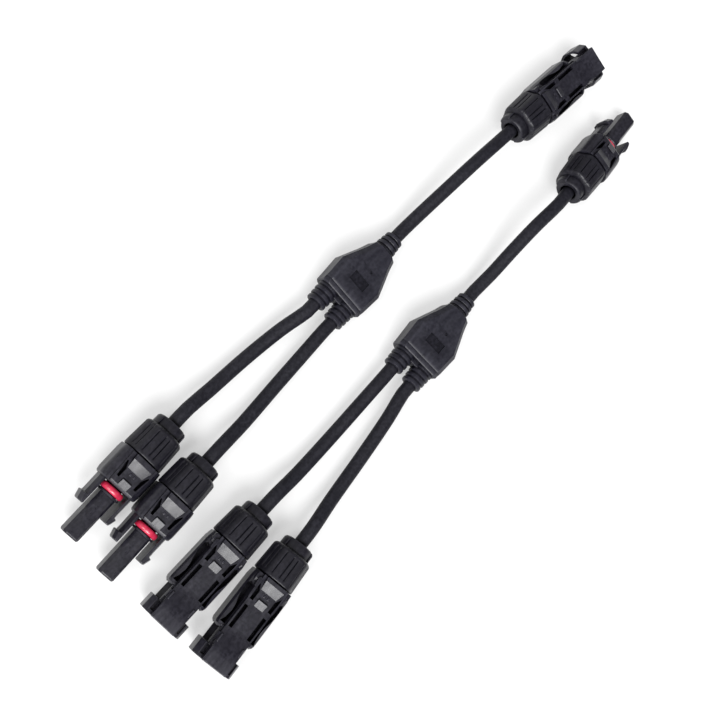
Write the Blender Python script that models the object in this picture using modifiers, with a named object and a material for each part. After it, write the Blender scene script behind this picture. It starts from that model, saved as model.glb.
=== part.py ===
"""A matched pair of two-into-one solar leads with locking plug-in connectors.

Each lead has two connectors on short branch cables, a moulded Y joint, and one
connector of the other kind on its trunk cable.  A "probe" connector has a narrow
nose, a seal ring and two latch arms.  A "shell" connector has the mouth that the
probe plugs into.  The leads lie side by side along +Y on the plane Z = 0.
"""
import math

import bmesh
import bpy
from mathutils import Matrix, Vector
from mathutils.geometry import interpolate_bezier

MM = 0.001
GAP = 0.3 * MM                      # clearance between neighbouring solids
TURN_STEPS = 18                     # sides of a turned shape
INNER_STEPS = 12                    # and of one that the housings hide
BOOT_STEPS = 14

# ---------------------------------------------------------------- cable and contacts
JACKET_RADIUS = 3.0 * MM
JACKET_WALL = 1.4 * MM
CORE_RADIUS = 1.3 * MM              # stranded copper
PIN_RADIUS = 2.0 * MM
BARREL_RADIUS = 2.4 * MM            # crimp barrel behind either contact
CRIMP_BORE = CORE_RADIUS + GAP
SOCKET_RADIUS = 3.0 * MM

# ---------------------------------------------------------------- connector stations
# Distances run from the mating tip towards the cable.
TOTAL_LENGTH = 58.0 * MM
BODY_END = 39.7 * MM                # where the cap nut starts
SPIGOT_END = 47.0 * MM
SPIGOT_RADIUS = 7.4 * MM
CHAMBER_RADIUS = 6.3 * MM           # holds the cable seal
CHAMBER_START = 34.2 * MM
CRIMP_START = 25.0 * MM
CRIMP_END = 33.6 * MM
CORE_TIP = 25.4 * MM
PROBE_CRIMP_SETBACK = 3.0 * MM      # a socket's crimp hole starts this much later
JACKET_TIP = 35.6 * MM

# ---------------------------------------------------------------- shell connector
SHELL_FLANGE_END = 6.4 * MM
SHELL_NECK_END = 13.1 * MM
SHELL_WEDGE_END = 14.8 * MM
MOUTH_RADIUS = 5.45 * MM
MOUTH_DEPTH = 4.4 * MM
SHELL_BORE_RADIUS = 4.6 * MM
SHELL_BORE_END = 21.0 * MM
PIN_TIP = 6.0 * MM
HALF_WIDTH = 9.65 * MM              # both kinds of body

# ---------------------------------------------------------------- probe connector
NOSE_HALF = 3.8 * MM
NOSE_CHAMFER = 1.25 * MM
NOSE_BORE = 3.25 * MM
NOSE_LIP_RADIUS = 2.5 * MM
NOSE_LIP = 1.4 * MM
RING_SEAT_RADIUS = 3.9 * MM
RING_SEAT = (21.5 * MM, 24.7 * MM)
RING_FLANGE_RADIUS = 5.3 * MM
RING_FLANGE_START = 20.6 * MM
RING_RADIUS = 5.7 * MM
COLLAR_START = 25.0 * MM
COLLAR_FULL = 26.2 * MM             # where its front bevel ends
SOCKET_FLANGE = (26.2 * MM, 27.6 * MM)

# ---------------------------------------------------------------- latch arms
ARM_TIP = 12.2 * MM
ARM_ROOT = 27.4 * MM
ARM_INNER = 6.1 * MM
ARM_OUTER = 8.5 * MM
ARM_BARB = 9.3 * MM
ARM_HALF_ANGLE = math.radians(34)
BARB_FRONT = 13.2 * MM
BARB_PEAK = 15.6 * MM
BARB_BACK = 16.6 * MM
CHANNEL_SPARE = 0.35 * MM           # room round an arm in its pocket or channel
CHANNEL_HALF_ANGLE = math.radians(37)
POCKET_END = 28.0 * MM
CHANNEL_END = 13.6 * MM

# ---------------------------------------------------------------- top and bottom of a body
SLOT_Y = (3.9 * MM, 5.6 * MM)
SLOT_DEPTH = 2.2 * MM
PAD_HEIGHT = 9.3 * MM               # ramp beside the nut, from the axis
PAD_HALF = 4.4 * MM
BOSS_HALF = 2.3 * MM
BOSS_RISE = 0.7 * MM
RIM_CHAMFER = 0.6 * MM
SHELL_PANEL = 8.0 * MM              # height of the flat panel above the axis
SHELL_BOSS = (27.7 * MM, 30.8 * MM)
SHELL_SLOTS = ((15.8 * MM, 26.2 * MM), (28.8 * MM, 33.8 * MM))
SHELL_RAMP = (33.9 * MM, 38.0 * MM)
PROBE_PANEL = 7.9 * MM
PROBE_BOSS = (26.2 * MM, 29.2 * MM)
PROBE_SLOTS = ((28.8 * MM, 35.4 * MM),)
PROBE_RAMP = (33.1 * MM, 37.4 * MM)

# ---------------------------------------------------------------- cap nut and clamp cage
NUT_LOBES = 6
NUT_POINTS = 24
NUT_START = 40.0 * MM
NUT_RADIUS = 9.3 * MM
NUT_LOBE = 0.2 * MM
NUT_SHOULDER = 52.0 * MM
NUT_SHOULDER_RADIUS = 8.75 * MM
CROWN_START = 54.0 * MM
CROWN_RADIUS = 6.4 * MM
SEAL_END = 42.4 * MM                # cable seal, inside the chamber
CAGE_START = 42.8 * MM
CAGE_SHOULDER = (47.4 * MM, 48.6 * MM)
CAGE_END = 53.4 * MM
CAGE_RADIUS = 5.9 * MM
CAGE_SHOULDER_RADIUS = 7.1 * MM
CAGE_TIP_RADIUS = 4.6 * MM
CAGE_SLOTS = 6
THREAD_BORE = 7.75 * MM
THREAD_END = 48.2 * MM
EXIT_BORE = 3.7 * MM
CROWN_NOTCHES = 6

# ---------------------------------------------------------------- Y moulding
Y_HALF_HIGH = 6.2 * MM
Y_BEVEL = (2.1 * MM, 1.8 * MM)      # across and down
Y_BRANCH_OFFSET = 5.6 * MM
Y_BOOT_START = -22.4 * MM
Y_BOOT_RADII = (4.6 * MM, 5.0 * MM)   # at the tip and at the body
Y_BOOT_RIBS = 4
Y_RIB_DEPTH = 0.5 * MM
Y_BODY_START = -13.6 * MM
Y_END_HALF = 11.4 * MM
Y_STEP = -11.4 * MM                 # where the raised plateau starts
Y_STEP_RISE = 0.7 * MM
Y_WIDE_HALF = 12.1 * MM
Y_WAIST = ((-0.6 * MM, Y_WIDE_HALF), (6.4 * MM, 9.3 * MM), (11.0 * MM, 7.4 * MM),
           (15.4 * MM, 6.0 * MM))
Y_PLAQUE = ((-5.2 * MM, -0.6 * MM), 4.3 * MM)
Y_TRUNK_BOOT_END = 24.8 * MM
Y_TRUNK_BOOT_RADII = (4.3 * MM, 5.1 * MM)
Y_BRANCH_JACKET_END = -6.4 * MM
Y_TRUNK_JACKET_END = 9.9 * MM
Y_SPLICE_MIDDLE = 3.0 * MM
SPLICE_HALF = 4.6 * MM
SPLICE_RADIUS = 4.1 * MM
SPLICE_BORE = 3.45 * MM
SPLICE_CORE_OFFSET = 1.65 * MM

# ---------------------------------------------------------------- layout on the table
# name, kind, tip x, tip y, then in degrees: yaw of the axis from tip to cable, its climb
# towards the cable, and the roll about it.  Stiff cables hold up the backs of the trunk
# connectors, so those lie with their tips down.
CONNECTORS = (
    ("a_left", "probe", -36.44 * MM, -157.46 * MM, 91.0, 0.0, 18.0),
    ("a_right", "probe", -16.1 * MM, -159.36 * MM, 91.1, 0.0, 13.0),
    ("a_trunk", "shell", -17.2 * MM, 158.34 * MM, -93.9, 5.0, -12.0),
    ("b_left", "shell", 11.8 * MM, -158.36 * MM, 89.5, 0.0, 6.0),
    ("b_right", "shell", 37.4 * MM, -157.16 * MM, 94.1, 0.0, 7.0),
    ("b_trunk", "probe", 15.6 * MM, 157.14 * MM, -88.3, 9.5, -13.0),
)
# name, x, y, yaw, roll: the branch cables twist each Y a little, so it rests on an edge
JOINTS_Y = (
    ("a", -25.0 * MM, 0.74 * MM, 90.0, 14.0),
    ("b", 17.5 * MM, 5.14 * MM, 91.5, 9.0),
)
# Points that each cable passes between its connector and its Y, in millimetres.
CABLE_MIDS = {
    "a_left": ((-36.6, -79.0, 8.0), (-35.2, -59.0, 7.3), (-33.0, -40.0, 8.4)),
    "a_right": ((-17.3, -79.0, 7.4), (-18.2, -59.0, 6.3), (-19.0, -40.0, 6.7)),
    "a_trunk": ((-22.8, 77.0, 16.2), (-23.8, 58.0, 13.2), (-24.6, 42.0, 10.2)),
    "b_left": ((13.3, -79.0, 7.2), (13.4, -56.0, 6.6), (13.0, -36.0, 7.6)),
    "b_right": ((31.2, -77.0, 7.0), (28.9, -55.0, 6.1), (26.2, -35.0, 6.5)),
    "b_trunk": ((16.5, 75.0, 16.0), (16.6, 60.0, 12.8), (17.0, 46.0, 9.6)),
}
STRAIGHT_BEHIND = 8.5 * MM          # straight cable behind a connector, where its nut runs
ROUTE_STEP = 11.0 * MM

MATERIALS = {                       # colour, roughness, metallic
    "housing_plastic": ((0.018, 0.018, 0.022), 0.42, 0.0),
    "nut_plastic": ((0.020, 0.020, 0.024), 0.46, 0.0),
    "cable_rubber": ((0.022, 0.022, 0.026), 0.62, 0.0),
    "seal_red": ((0.55, 0.02, 0.045), 0.35, 0.0),
    "seal_grey": ((0.12, 0.12, 0.12), 0.60, 0.0),
    "cage_plastic": ((0.05, 0.05, 0.055), 0.50, 0.0),
    "tinned_copper": ((0.72, 0.70, 0.66), 0.30, 1.0),
    "copper": ((0.72, 0.33, 0.18), 0.38, 1.0),
}


# ================================================================ scene helpers
def clear_scene():
    for obj in list(bpy.data.objects):
        bpy.data.objects.remove(obj, do_unlink=True)


def new_collection(name):
    collection = bpy.data.collections.new(name)
    bpy.context.scene.collection.children.link(collection)
    return collection


def make_material(name):
    colour, roughness, metallic = MATERIALS[name]
    material = bpy.data.materials.new(name)
    material.use_nodes = True
    shader = material.node_tree.nodes["Principled BSDF"]
    shader.inputs["Base Color"].default_value = (*colour, 1.0)
    shader.inputs["Roughness"].default_value = roughness
    shader.inputs["Metallic"].default_value = metallic
    return material


def mesh_object(name, build):
    """A new mesh object; build(bm) fills its mesh."""
    mesh = bpy.data.meshes.new(name)
    bm = bmesh.new()
    build(bm)
    bm.to_mesh(mesh)
    bm.free()
    obj = bpy.data.objects.new(name, mesh)
    parts.objects.link(obj)
    return obj


def turned(name, profile, steps=TURN_STEPS):
    """A solid turned about local X from (station, radius) points.

    A profile whose ends are on the axis is solid; any other is closed to a ring.
    """
    solid = profile[0][1] == 0.0 and profile[-1][1] == 0.0

    def build(bm):
        verts = [bm.verts.new((s, 0.0, r)) for s, r in profile]
        pairs = list(zip(verts, verts[1:]))
        if not solid:
            pairs.append((verts[-1], verts[0]))
        for first, second in pairs:
            bm.edges.new((first, second))

    obj = mesh_object(name, build)
    screw = obj.modifiers.new("Turn", 'SCREW')
    screw.axis = 'X'
    screw.angle = math.tau
    screw.steps = steps
    screw.render_steps = steps
    screw.use_merge_vertices = True
    screw.merge_threshold = 0.00001
    screw.use_normal_flip = True
    return obj


def loft(name, sections):
    """A solid through (station, outline) sections, outlines being (y, z) loops."""
    def build(bm):
        loops = [[bm.verts.new((s, y, z)) for y, z in outline] for s, outline in sections]
        count = len(loops[0])
        for near, far in zip(loops, loops[1:]):
            for i in range(count):
                j = (i + 1) % count
                bm.faces.new((near[i], near[j], far[j], far[i]))
        bm.faces.new(reversed(loops[0]))
        bm.faces.new(loops[-1])
        bmesh.ops.recalc_face_normals(bm, faces=bm.faces)

    return mesh_object(name, build)


def ring_loft(name, loops):
    """A ring-shaped solid through loops of points, the last one joining the first."""
    def build(bm):
        rows = [[bm.verts.new(point) for point in loop] for loop in loops]
        count = len(rows[0])
        for near, far in zip(rows, rows[1:] + rows[:1]):
            for i in range(count):
                j = (i + 1) % count
                bm.faces.new((near[i], near[j], far[j], far[i]))
        bmesh.ops.recalc_face_normals(bm, faces=bm.faces)

    return mesh_object(name, build)


def boxes(name, corner_pairs):
    """Separate boxes between pairs of opposite corners, in one object."""
    def build(bm):
        for low, high in corner_pairs:
            centre = [(a + b) / 2 for a, b in zip(low, high)]
            size = [abs(b - a) for a, b in zip(low, high)]
            place = Matrix.Translation(centre) @ Matrix.Diagonal((*size, 1.0))
            bmesh.ops.create_cube(bm, size=1.0, matrix=place)

    return mesh_object(name, build)


def both_faces(corner_pairs):
    """The boxes and their mirror images below the axis."""
    flipped = [((a[0], a[1], -a[2]), (b[0], b[1], -b[2])) for a, b in corner_pairs]
    return list(corner_pairs) + flipped


def both_sides(corner_pairs):
    """The boxes and their mirror images across the XZ plane."""
    flipped = [((a[0], -a[1], a[2]), (b[0], -b[1], b[2])) for a, b in corner_pairs]
    return list(corner_pairs) + flipped


def cut(target, tool, operation='DIFFERENCE'):
    """Cut the target with the tool, or join them; the tool goes with the cutters."""
    parts.objects.unlink(tool)
    cutters.objects.link(tool)
    tool.hide_render = True
    tool.display_type = 'WIRE'
    tool.parent = target
    modifier = target.modifiers.new(tool.name, 'BOOLEAN')
    modifier.operation = operation
    modifier.object = tool


def finish(obj, parent, material):
    obj.parent = parent
    obj.data.materials.append(material_of[material])


def frame(name, matrix):
    """An empty whose local X is the axis of the piece that it carries."""
    empty = bpy.data.objects.new(name, None)
    empty.matrix_basis = matrix
    empty.empty_display_size = 0.01
    parts.objects.link(empty)
    return empty


# ================================================================ outlines
def cross_outline(wing_half, wing_high, core_half, step_high, core_high):
    """A core with a wing on each side, symmetric about both axes."""
    quarter = ((wing_half, wing_high), (core_half, step_high), (core_half, core_high))
    upper = list(quarter) + [(-y, z) for y, z in reversed(quarter)]
    return upper + [(-y, -z) for y, z in upper]


def chamfered_square(half, chamfer):
    near = half - chamfer
    return [(half, near), (near, half), (-near, half), (-half, near),
            (-half, -near), (-near, -half), (near, -half), (half, -near)]


def sector(inner, outer, half_angle, side, steps=6):
    """An arc-shaped band of the circle about the axis, centred on +Y or -Y."""
    angles = [half_angle * (2 * i / steps - 1) for i in range(steps + 1)]
    outside = [(side * outer * math.cos(a), outer * math.sin(a)) for a in angles]
    inside = [(side * inner * math.cos(a), inner * math.sin(a)) for a in reversed(angles)]
    return outside + inside


def rest_height(corners, climb, roll):
    """Height of the origin that puts the lowest of a piece's corners on Z = 0."""
    turn, slope = math.radians(abs(roll)), math.radians(climb)
    return max((z * math.cos(turn) + y * math.sin(turn)) * math.cos(slope) - s * math.sin(slope)
               for s, y, z in corners)


def axis_matrix(x, y, height, yaw, climb=0.0, roll=0.0):
    """Where the frame of a piece stands: X is its axis."""
    return (Matrix.Translation((x, y, height)) @ Matrix.Rotation(math.radians(yaw), 4, 'Z')
            @ Matrix.Rotation(math.radians(-climb), 4, 'Y')
            @ Matrix.Rotation(math.radians(roll), 4, 'X'))


SHELL_FLANGE = cross_outline(HALF_WIDTH, 4.2 * MM, 6.0 * MM, 7.0 * MM, 9.2 * MM)
SHELL_RIM = cross_outline(HALF_WIDTH - 0.4 * MM, 4.0 * MM, 5.6 * MM, 6.8 * MM, 8.9 * MM)
SHELL_NECK = cross_outline(7.3 * MM, 3.8 * MM, 5.9 * MM, 6.2 * MM, 8.2 * MM)
SHELL_WEDGE = cross_outline(8.6 * MM, 3.9 * MM, 6.3 * MM, 5.6 * MM, 8.0 * MM)
SHELL_BODY = cross_outline(HALF_WIDTH, 4.0 * MM, 6.3 * MM, 5.6 * MM, SHELL_PANEL)
SHELL_REAR = cross_outline(9.4 * MM, 4.0 * MM, 6.3 * MM, 6.2 * MM, 8.0 * MM)
COLLAR_FRONT = cross_outline(9.3 * MM, 3.4 * MM, 6.2 * MM, 6.9 * MM, 7.5 * MM)
COLLAR_BODY = cross_outline(HALF_WIDTH, 3.4 * MM, 6.2 * MM, 7.0 * MM, PROBE_PANEL)
COLLAR_REAR = cross_outline(HALF_WIDTH, 3.6 * MM, 6.2 * MM, 7.2 * MM, 8.0 * MM)
# Station, y and z of the corners that can touch the table.
SUPPORT_CORNERS = {
    "shell": ((RIM_CHAMFER, 6.0 * MM, 9.2 * MM), (SHELL_RAMP[1], PAD_HALF, PAD_HEIGHT)),
    "probe": ((0.0, NOSE_HALF - NOSE_CHAMFER, NOSE_HALF), (COLLAR_FULL, 6.2 * MM, PROBE_PANEL),
              (PROBE_RAMP[1], PAD_HALF, PAD_HEIGHT)),
    "y": ((0.0, Y_WIDE_HALF - Y_BEVEL[0], Y_HALF_HIGH),),
}


# ================================================================ connector pieces
def arc_cutter(name, start, end):
    """Cutter for the two arc-shaped spaces that the latch arms take."""
    inner = ARM_INNER - CHANNEL_SPARE
    outer = ARM_OUTER + CHANNEL_SPARE
    tool = loft(name, [(s, sector(inner, outer, CHANNEL_HALF_ANGLE, 1)) for s in (start, end)])
    mirror = tool.modifiers.new("Both sides", 'MIRROR')
    mirror.use_axis = (False, True, False)
    mirror.merge_threshold = 0.00001
    return tool


def surface_details(name, body, panel, boss, slots, ramp):
    """Boss and ramp pads on the two panels, then the long slots beside them."""
    (boss_start, boss_end), (ramp_start, ramp_top) = boss, ramp
    sunk = panel - 0.8 * MM
    cut(body, boxes(name + "_bosses", both_faces([
        ((boss_start, -BOSS_HALF, sunk), (boss_end, BOSS_HALF, panel + BOSS_RISE)),
    ])), 'UNION')
    for side, word in ((1, "upper"), (-1, "lower")):
        outlines = [(s, [(PAD_HALF * wide, side * top), (-PAD_HALF * wide, side * top),
                         (-PAD_HALF * wide, side * sunk), (PAD_HALF * wide, side * sunk)])
                    for s, wide, top in ((ramp_start, 0.8, panel - 0.3 * MM),
                                         (ramp_top, 1.0, PAD_HEIGHT),
                                         (BODY_END - 0.2 * MM, 1.0, PAD_HEIGHT))]
        cut(body, loft(f"{name}_ramp_{word}", outlines), 'UNION')
    cut(body, boxes(name + "_slots", both_faces(both_sides([
        ((start, SLOT_Y[0], panel - SLOT_DEPTH), (end, SLOT_Y[1], panel + SLOT_DEPTH))
        for start, end in slots
    ]))))


def shell_housing(name, parent):
    body = loft(name, [
        (0.0, SHELL_RIM), (RIM_CHAMFER, SHELL_FLANGE), (SHELL_FLANGE_END, SHELL_FLANGE),
        (SHELL_FLANGE_END, SHELL_NECK), (SHELL_NECK_END, SHELL_NECK),
        (SHELL_NECK_END, SHELL_WEDGE), (SHELL_WEDGE_END, SHELL_BODY),
        (BODY_END - 2.0 * MM, SHELL_BODY), (BODY_END, SHELL_REAR)])
    cut(body, turned(name + "_spigot", [
        (BODY_END - 3.0 * MM, 0.0), (BODY_END - 3.0 * MM, SPIGOT_RADIUS),
        (SPIGOT_END, SPIGOT_RADIUS), (SPIGOT_END, 0.0)]), 'UNION')
    surface_details(name, body, SHELL_PANEL, SHELL_BOSS, SHELL_SLOTS, SHELL_RAMP)
    contact_bore = BARREL_RADIUS + 2 * GAP
    cut(body, turned(name + "_bore", [
        (-1.0 * MM, 0.0), (-1.0 * MM, MOUTH_RADIUS), (MOUTH_DEPTH, MOUTH_RADIUS),
        (MOUTH_DEPTH + 0.6 * MM, SHELL_BORE_RADIUS), (SHELL_BORE_END, SHELL_BORE_RADIUS),
        (SHELL_BORE_END, contact_bore), (CHAMBER_START, contact_bore),
        (CHAMBER_START, CHAMBER_RADIUS), (SPIGOT_END + 1.0 * MM, CHAMBER_RADIUS),
        (SPIGOT_END + 1.0 * MM, 0.0)]))
    cut(body, arc_cutter(name + "_channels", -1.0 * MM, CHANNEL_END))
    finish(body, parent, "housing_plastic")


def probe_housing(name, parent):
    body = loft(name, [
        (COLLAR_START, COLLAR_FRONT), (COLLAR_FULL, COLLAR_BODY),
        (BODY_END - 3.0 * MM, COLLAR_BODY), (BODY_END, COLLAR_REAR)])
    square = chamfered_square(NOSE_HALF, NOSE_CHAMFER)
    tip = chamfered_square(NOSE_HALF - 0.4 * MM, NOSE_CHAMFER - 0.1 * MM)
    cut(body, loft(name + "_nose", [(0.0, tip), (0.8 * MM, square),
                                    (RING_FLANGE_START + 0.3 * MM, square)]), 'UNION')
    cut(body, turned(name + "_core", [
        (RING_FLANGE_START, 0.0), (RING_FLANGE_START, RING_FLANGE_RADIUS),
        (RING_SEAT[0], RING_FLANGE_RADIUS), (RING_SEAT[0], RING_SEAT_RADIUS),
        (COLLAR_START + 1.0 * MM, RING_SEAT_RADIUS), (BODY_END - 3.0 * MM, SPIGOT_RADIUS),
        (SPIGOT_END, SPIGOT_RADIUS), (SPIGOT_END, 0.0)]), 'UNION')
    surface_details(name, body, PROBE_PANEL, PROBE_BOSS, PROBE_SLOTS, PROBE_RAMP)
    flange_bore = BARREL_RADIUS + 1.5 * MM
    cut(body, turned(name + "_bore", [
        (-1.0 * MM, 0.0), (-1.0 * MM, NOSE_LIP_RADIUS), (NOSE_LIP, NOSE_LIP_RADIUS),
        (NOSE_LIP, NOSE_BORE), (SOCKET_FLANGE[0] - GAP, NOSE_BORE),
        (SOCKET_FLANGE[0] - GAP, flange_bore), (CHAMBER_START, flange_bore),
        (CHAMBER_START, CHAMBER_RADIUS), (SPIGOT_END + 1.0 * MM, CHAMBER_RADIUS),
        (SPIGOT_END + 1.0 * MM, 0.0)]))
    cut(body, arc_cutter(name + "_pockets", COLLAR_START - 1.0 * MM, POCKET_END))
    finish(body, parent, "housing_plastic")


def latch_arm(name, parent, side):
    """One springy arm, its barb standing proud near the tip."""
    def section(station, outer, inner=ARM_INNER):
        return station, sector(inner, outer, ARM_HALF_ANGLE, side)

    arm = loft(name, [
        section(ARM_TIP, ARM_OUTER - 0.9 * MM), section(BARB_FRONT, ARM_OUTER),
        section(BARB_PEAK, ARM_BARB), section(BARB_BACK, ARM_OUTER - 0.1 * MM),
        section(ARM_ROOT, ARM_OUTER)])
    finish(arm, parent, "housing_plastic")


def seal_ring(name, parent):
    low, high = RING_SEAT_RADIUS + GAP, RING_RADIUS
    start, end = RING_SEAT[0] + GAP, RING_SEAT[1] - GAP
    ring = turned(name, [(start, low), (start, high - 0.4 * MM), (start + 0.6 * MM, high),
                         (end - 0.6 * MM, high), (end, high - 0.4 * MM), (end, low)])
    finish(ring, parent, "seal_red")


def pin_contact(name, parent):
    flange = SHELL_BORE_END + GAP
    pin = turned(name, [
        (PIN_TIP, 0.0), (PIN_TIP, PIN_RADIUS * 0.55), (PIN_TIP + 1.2 * MM, PIN_RADIUS),
        (flange, PIN_RADIUS), (flange, BARREL_RADIUS), (CRIMP_END, BARREL_RADIUS),
        (CRIMP_END, CRIMP_BORE), (CRIMP_START, CRIMP_BORE), (CRIMP_START, 0.0)], INNER_STEPS)
    finish(pin, parent, "tinned_copper")


def socket_contact(name, parent):
    start = NOSE_LIP + GAP
    bottom = start + 16.0 * MM
    flange_radius = BARREL_RADIUS + 1.2 * MM
    crimp_start = CRIMP_START + PROBE_CRIMP_SETBACK
    socket = turned(name, [
        (bottom, 0.0), (bottom, PIN_RADIUS + 0.05 * MM), (start, PIN_RADIUS + 0.05 * MM),
        (start, SOCKET_RADIUS - 0.2 * MM), (start + 0.8 * MM, SOCKET_RADIUS),
        (SOCKET_FLANGE[0], SOCKET_RADIUS), (SOCKET_FLANGE[0], flange_radius),
        (SOCKET_FLANGE[1], flange_radius), (SOCKET_FLANGE[1], BARREL_RADIUS),
        (CRIMP_END, BARREL_RADIUS), (CRIMP_END, CRIMP_BORE), (crimp_start, CRIMP_BORE),
        (crimp_start, 0.0)], INNER_STEPS)
    slit = 0.25 * MM
    reach = SOCKET_RADIUS + 1.0 * MM
    cut(socket, boxes(name + "_slit", [((0.0, -slit, -reach), (start + 9.0 * MM, slit, reach))]))
    finish(socket, parent, "tinned_copper")


def cable_seal(name, parent):
    low, high = JACKET_RADIUS + GAP, CHAMBER_RADIUS - GAP
    start, end = CHAMBER_START + GAP, SEAL_END
    profile = [(end, low), (start, low), (start, high - 0.5 * MM)]
    ribs = 2
    pitch = (end - start) / ribs
    for i in range(ribs):
        profile += [(start + (i + 0.3) * pitch, high), (start + (i + 0.7) * pitch, high)]
        profile.append((start + (i + 1) * pitch, high - 0.5 * MM))
    finish(turned(name, profile, INNER_STEPS), parent, "seal_grey")


def clamp_cage(name, parent):
    """Slotted collet that the nut squeezes onto the cable."""
    low = JACKET_RADIUS + GAP
    (front, back), end = CAGE_SHOULDER, CAGE_END
    cage = turned(name, [
        (CAGE_START, low), (CAGE_START, CAGE_RADIUS), (front, CAGE_RADIUS),
        (front, CAGE_SHOULDER_RADIUS), (back, CAGE_SHOULDER_RADIUS), (end, CAGE_TIP_RADIUS),
        (end, low)], INNER_STEPS)

    def build(bm):
        place = Matrix.Translation((end - 1.4 * MM, 5.6 * MM, 0.0))
        size = Matrix.Diagonal((5.0 * MM, 6.4 * MM, 0.9 * MM, 1.0))
        for i in range(CAGE_SLOTS):
            turn = Matrix.Rotation(math.tau * i / CAGE_SLOTS, 4, 'X')
            bmesh.ops.create_cube(bm, size=1.0, matrix=turn @ place @ size)

    cut(cage, mesh_object(name + "_slots", build))
    finish(cage, parent, "cage_plastic")


def cap_nut(name, parent):
    def ring(station, radius, lobe=0.0):
        loop = []
        for i in range(NUT_POINTS):
            angle = math.tau * i / NUT_POINTS
            r = radius + lobe * math.cos(NUT_LOBES * angle)
            loop.append((station, r * math.cos(angle), r * math.sin(angle)))
        return loop

    nut = ring_loft(name, [
        ring(NUT_START, NUT_RADIUS - 0.4 * MM, NUT_LOBE),
        ring(NUT_START + 0.5 * MM, NUT_RADIUS, NUT_LOBE),
        ring(NUT_SHOULDER, NUT_SHOULDER_RADIUS, NUT_LOBE),
        ring(CROWN_START, CROWN_RADIUS + 0.2 * MM),
        ring(TOTAL_LENGTH - 1.2 * MM, CROWN_RADIUS),
        ring(TOTAL_LENGTH, CROWN_RADIUS - 0.9 * MM),
        ring(TOTAL_LENGTH, EXIT_BORE),
        ring(CROWN_START + 0.4 * MM, EXIT_BORE),
        ring(CROWN_START - 0.2 * MM, 4.9 * MM),
        ring(THREAD_END, THREAD_BORE),
        ring(NUT_START, THREAD_BORE)])

    def notches(bm):
        place = Matrix.Translation((TOTAL_LENGTH, CROWN_RADIUS + 0.1 * MM, 0.0))
        size = Matrix.Diagonal((5.0 * MM, 3.0 * MM, 1.6 * MM, 1.0))
        for i in range(CROWN_NOTCHES):
            turn = Matrix.Rotation(math.tau * (i + 0.5) / CROWN_NOTCHES, 4, 'X')
            bmesh.ops.create_cube(bm, size=1.0, matrix=turn @ place @ size)

    cut(nut, mesh_object(name + "_notches", notches))
    finish(nut, parent, "nut_plastic")


def connector(name, kind, matrix):
    holder = frame(f"{name}_frame", matrix)
    prefix = f"{name}_{kind}"
    if kind == "shell":
        shell_housing(prefix + "_housing", holder)
        pin_contact(prefix + "_pin_contact", holder)
    else:
        probe_housing(prefix + "_housing", holder)
        latch_arm(prefix + "_latch_port", holder, 1)
        latch_arm(prefix + "_latch_starboard", holder, -1)
        seal_ring(prefix + "_seal_ring", holder)
        socket_contact(prefix + "_socket_contact", holder)
    cable_seal(prefix + "_cable_seal", holder)
    clamp_cage(prefix + "_clamp_cage", holder)
    cap_nut(prefix + "_cap_nut", holder)


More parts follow.
